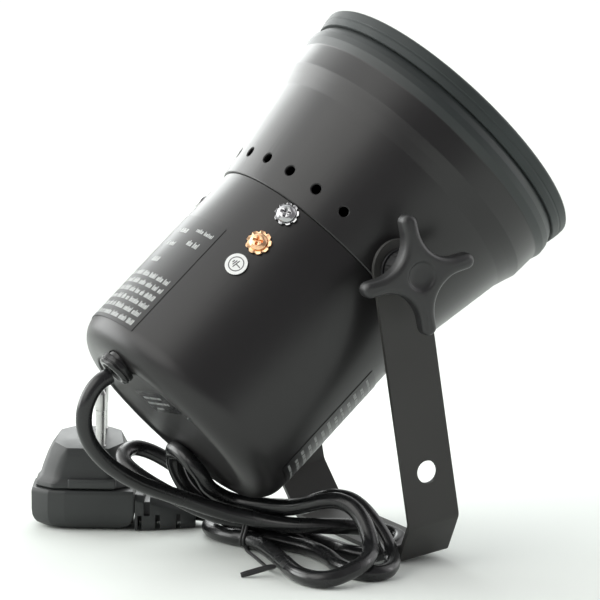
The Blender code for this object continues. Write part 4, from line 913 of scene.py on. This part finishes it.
# raised bars on the long sides, where the two mouldings meet
bm = bmesh.new()
for sg in (-1, 1):
    y0, y1 = sorted((sg * 14.0, sg * 17.0))
    plate(bm, -6.1, 13.9, y0, y1, 17.9, 21.9)
o = soften(solid("plug_bars", bm, PL), 0.8, 40, 4)
place(o, "head", "black_plastic", mats=["plug_plastic"], smooth=34)
for i, (y, foot) in enumerate(((-9.5, 34.7), (9.5, 38.6))):
    prof = [(0, 58.5), (1.6, 58.3), (2.4, 56.6), (2.4, 50.0), (2.1, 49.8), (2.1, foot + 0.7), (2.4, foot + 0.5), (2.4, foot), (0, foot)]
    place(solid("contact_pin_%s" % "ab"[i], lathe(fillet([(r, z, 0.3 if r > 0 else 0) for r, z in prof], 3), 40), PL @ Matrix.Translation((7.0 * MM, y * MM, 0))),
          "head", "steel", ("plug_pin_%s" % "ab"[i],), smooth=35)

# cord grip: a broad tapered sleeve with staggered slots, flush with the base at its root


def grip_section(y0, y1, top_):
    c = 2.4
    return fillet([(y0 + c * 0.6, 0.3, 1.0), (y1 - c * 0.6, 0.3, 1.0), (y1, 0.3 + c, 1.0), (y1, top_ - c, 1.6), (y1 - c, top_, 1.6), (y0 + c, top_, 1.6),
                   (y0, top_ - c, 1.6), (y0, 0.3 + c, 1.0)], 3)


bm = bmesh.new()
rings = []
for x, y0, y1, top_ in ((21.75, -16.6, 14.2, 15.6), (25.0, -16.1, 12.8, 15.0), (28.0, -15.4, 11.5, 14.2), (31.0, -14.6, 10.3, 13.4), (34.0, -13.6, 9.2, 12.6),
                        (37.0, -12.6, 8.2, 11.8), (40.0, -11.4, 7.4, 11.0), (43.0, -10.2, 6.7, 10.3), (46.0, -9.0, 6.1, 9.7), (46.6, -8.4, 5.6, 9.3)):
    rings.append([bm.verts.new((x * MM, y * MM, z * MM)) for y, z in grip_section(y0, y1, top_)])
skin(bm, rings)
bm.faces.new(rings[0])
bm.faces.new(rings[-1])
o = solid("plug_sleeve", bm, PL)
cuts = [moved(pin(3.5, 36.0, 50.0), PL @ Matrix.Translation((0, 0, 5.2 * MM)) @ Matrix.Rotation(pi / 2, 4, "Y"))]


def slot_cut(x0, x1, outline):
    """A slot across the sleeve, whose outline is given in y and z."""
    b = bmesh.new()
    rings = [[b.verts.new((x * MM, y * MM, z * MM)) for y, z in outline] for x in (x0, x1)]
    skin(b, rings)
    b.faces.new(rings[0])
    b.faces.new(rings[1])
    return moved(b, PL)


for x0, x1 in ((22.9, 24.6), (30.2, 32.1), (38.7, 40.5)):
    cuts.append(slot_cut(x0, x1, [(-30, -2), (30, -2), (30, 6.8), (6.5, 6.8), (6.5, 2.5), (-7.0, 2.5), (-7.0, 6.8), (-30, 6.8)]))
cuts.append(slot_cut(25.5, 27.9, [(-30, 6.6), (-12.4, 6.6), (-12.4, 11.9), (9.4, 11.9), (9.4, 6.6), (30, 6.6), (30, 30), (-30, 30)]))
carve(o, cuts)
grip = place(soften(o, 0.2, 50, 2), "head", "black_plastic", ("plug_cord_grip",), mats=["plug_plastic"], smooth=30)

# the lead gets its finish, takes the place of the CAD lead pieces and rides on the head
lead.data.materials.append(MAT["black_pvc"])
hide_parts("lead_run", "lead_hank", "plug_lead")
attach(lead, "head")

# ---------------------------------------------------------------- finishes of the CAD nodes that stay
for part in frame["record"]["subparts"]:
    node = frame["nodes"][part["node"]]
    if not node.hide_render:
        node.data.materials.clear()
        node.data.materials.append(MAT[part["material_slot"]])

# ---------------------------------------------------------------- floor
bm = bmesh.new()
bmesh.ops.create_circle(bm, cap_ends=True, segments=96, radius=30.0)
floor = solid("floor", bm)
floor.data.materials.append(surface("floor_paper", (0.85, 0.89, 0.855), 0.75, spec=0.2, tint=(2.0, 0.01), rvar=(6, 0.03), bumps=(("noise", 500, 0.01, 0.2),)))

# ---------------------------------------------------------------- studio light
world = bpy.data.worlds.new("studio")
bpy.context.scene.world = world
world.use_nodes = True
N, L = world.node_tree.nodes, world.node_tree.links
bg = N["Background"]
tc = N.new("ShaderNodeTexCoord")


def glow(direction, lo, hi, amount, colour=(1, 1, 1)):
    """Light from round a direction, fading from cosine hi down to lo."""
    d = N.new("ShaderNodeVectorMath")
    d.operation = "DOT_PRODUCT"
    d.inputs[1].default_value = Vector(direction).normalized()
    L.new(tc.outputs["Generated"], d.inputs[0])
    r = N.new("ShaderNodeMapRange")
    r.interpolation_type = "SMOOTHERSTEP"
    r.inputs["From Min"].default_value = lo
    r.inputs["From Max"].default_value = hi
    r.inputs["To Max"].default_value = amount
    L.new(d.outputs["Value"], r.inputs["Value"])
    s = N.new("ShaderNodeVectorMath")
    s.operation = "SCALE"
    s.inputs[0].default_value = colour
    L.new(r.outputs["Result"], s.inputs["Scale"])
    return s.outputs["Vector"]


parts = [glow((0.1, 1.0, 0.25), -0.3, 0.8, 0.46, (0.98, 1.0, 0.99)),          # behind the light
         glow((-0.76, -0.10, 0.58), 0.84, 0.97, 1.9, (1.0, 1.0, 0.96)),       # key on the left
         glow((-0.6, 0.6, 0.5), 0.80, 0.97, 1.0, (1.0, 1.0, 0.98)),           # behind on the left
         glow((-0.6, 0.8, 0.1), 0.80, 0.97, 3.6, (0.98, 1.0, 0.99)),          # low, behind on the left
         glow((0.1, 0.75, 0.65), 0.80, 0.96, 0.7, (0.97, 1.0, 0.99)),         # above and behind
         glow((-1.0, 0.35, 0.35), 0.1, 0.9, 0.49),                            # left
         glow((0.9, -0.1, 0.4), 0.70, 0.95, 1.1, (1.0, 0.99, 1.0)),           # right
         glow((0.3, -1.0, 0.0), -1.2, 1.0, 0.31, (1.0, 0.97, 1.0))]           # a little from the front
total = parts[0]
for p in parts[1:]:
    a = N.new("ShaderNodeVectorMath")
    a.operation = "ADD"
    L.new(total, a.inputs[0])
    L.new(p, a.inputs[1])
    total = a.outputs["Vector"]
L.new(total, bg.inputs["Color"])
bg.inputs["Strength"].default_value = 1.0


def softbox(name, where, aim, size, power, colour=(1, 1, 1)):
    d = bpy.data.lights.new(name, "AREA")
    d.shape = "RECTANGLE"
    d.size, d.size_y = size
    d.energy = power
    d.color = colour
    o = bpy.data.objects.new(name, d)
    bpy.context.scene.collection.objects.link(o)
    o.location = where
    o.rotation_mode = "QUATERNION"
    o.rotation_quaternion = (Vector(aim) - Vector(where)).to_track_quat("-Z", "Y")
    return o


softbox("softbox_right", (1.3, -0.5, 0.55), (0, 0, 0.1), (0.2, 0.7), 2.0)
card = softbox("card_behind", (0.02, 0.335, 0.241), (-0.07, 0.071, 0.037), (0.20, 0.20), 0.52, (0.97, 1.0, 0.99))   # behind the plug, out of the picture
card.visible_camera = False
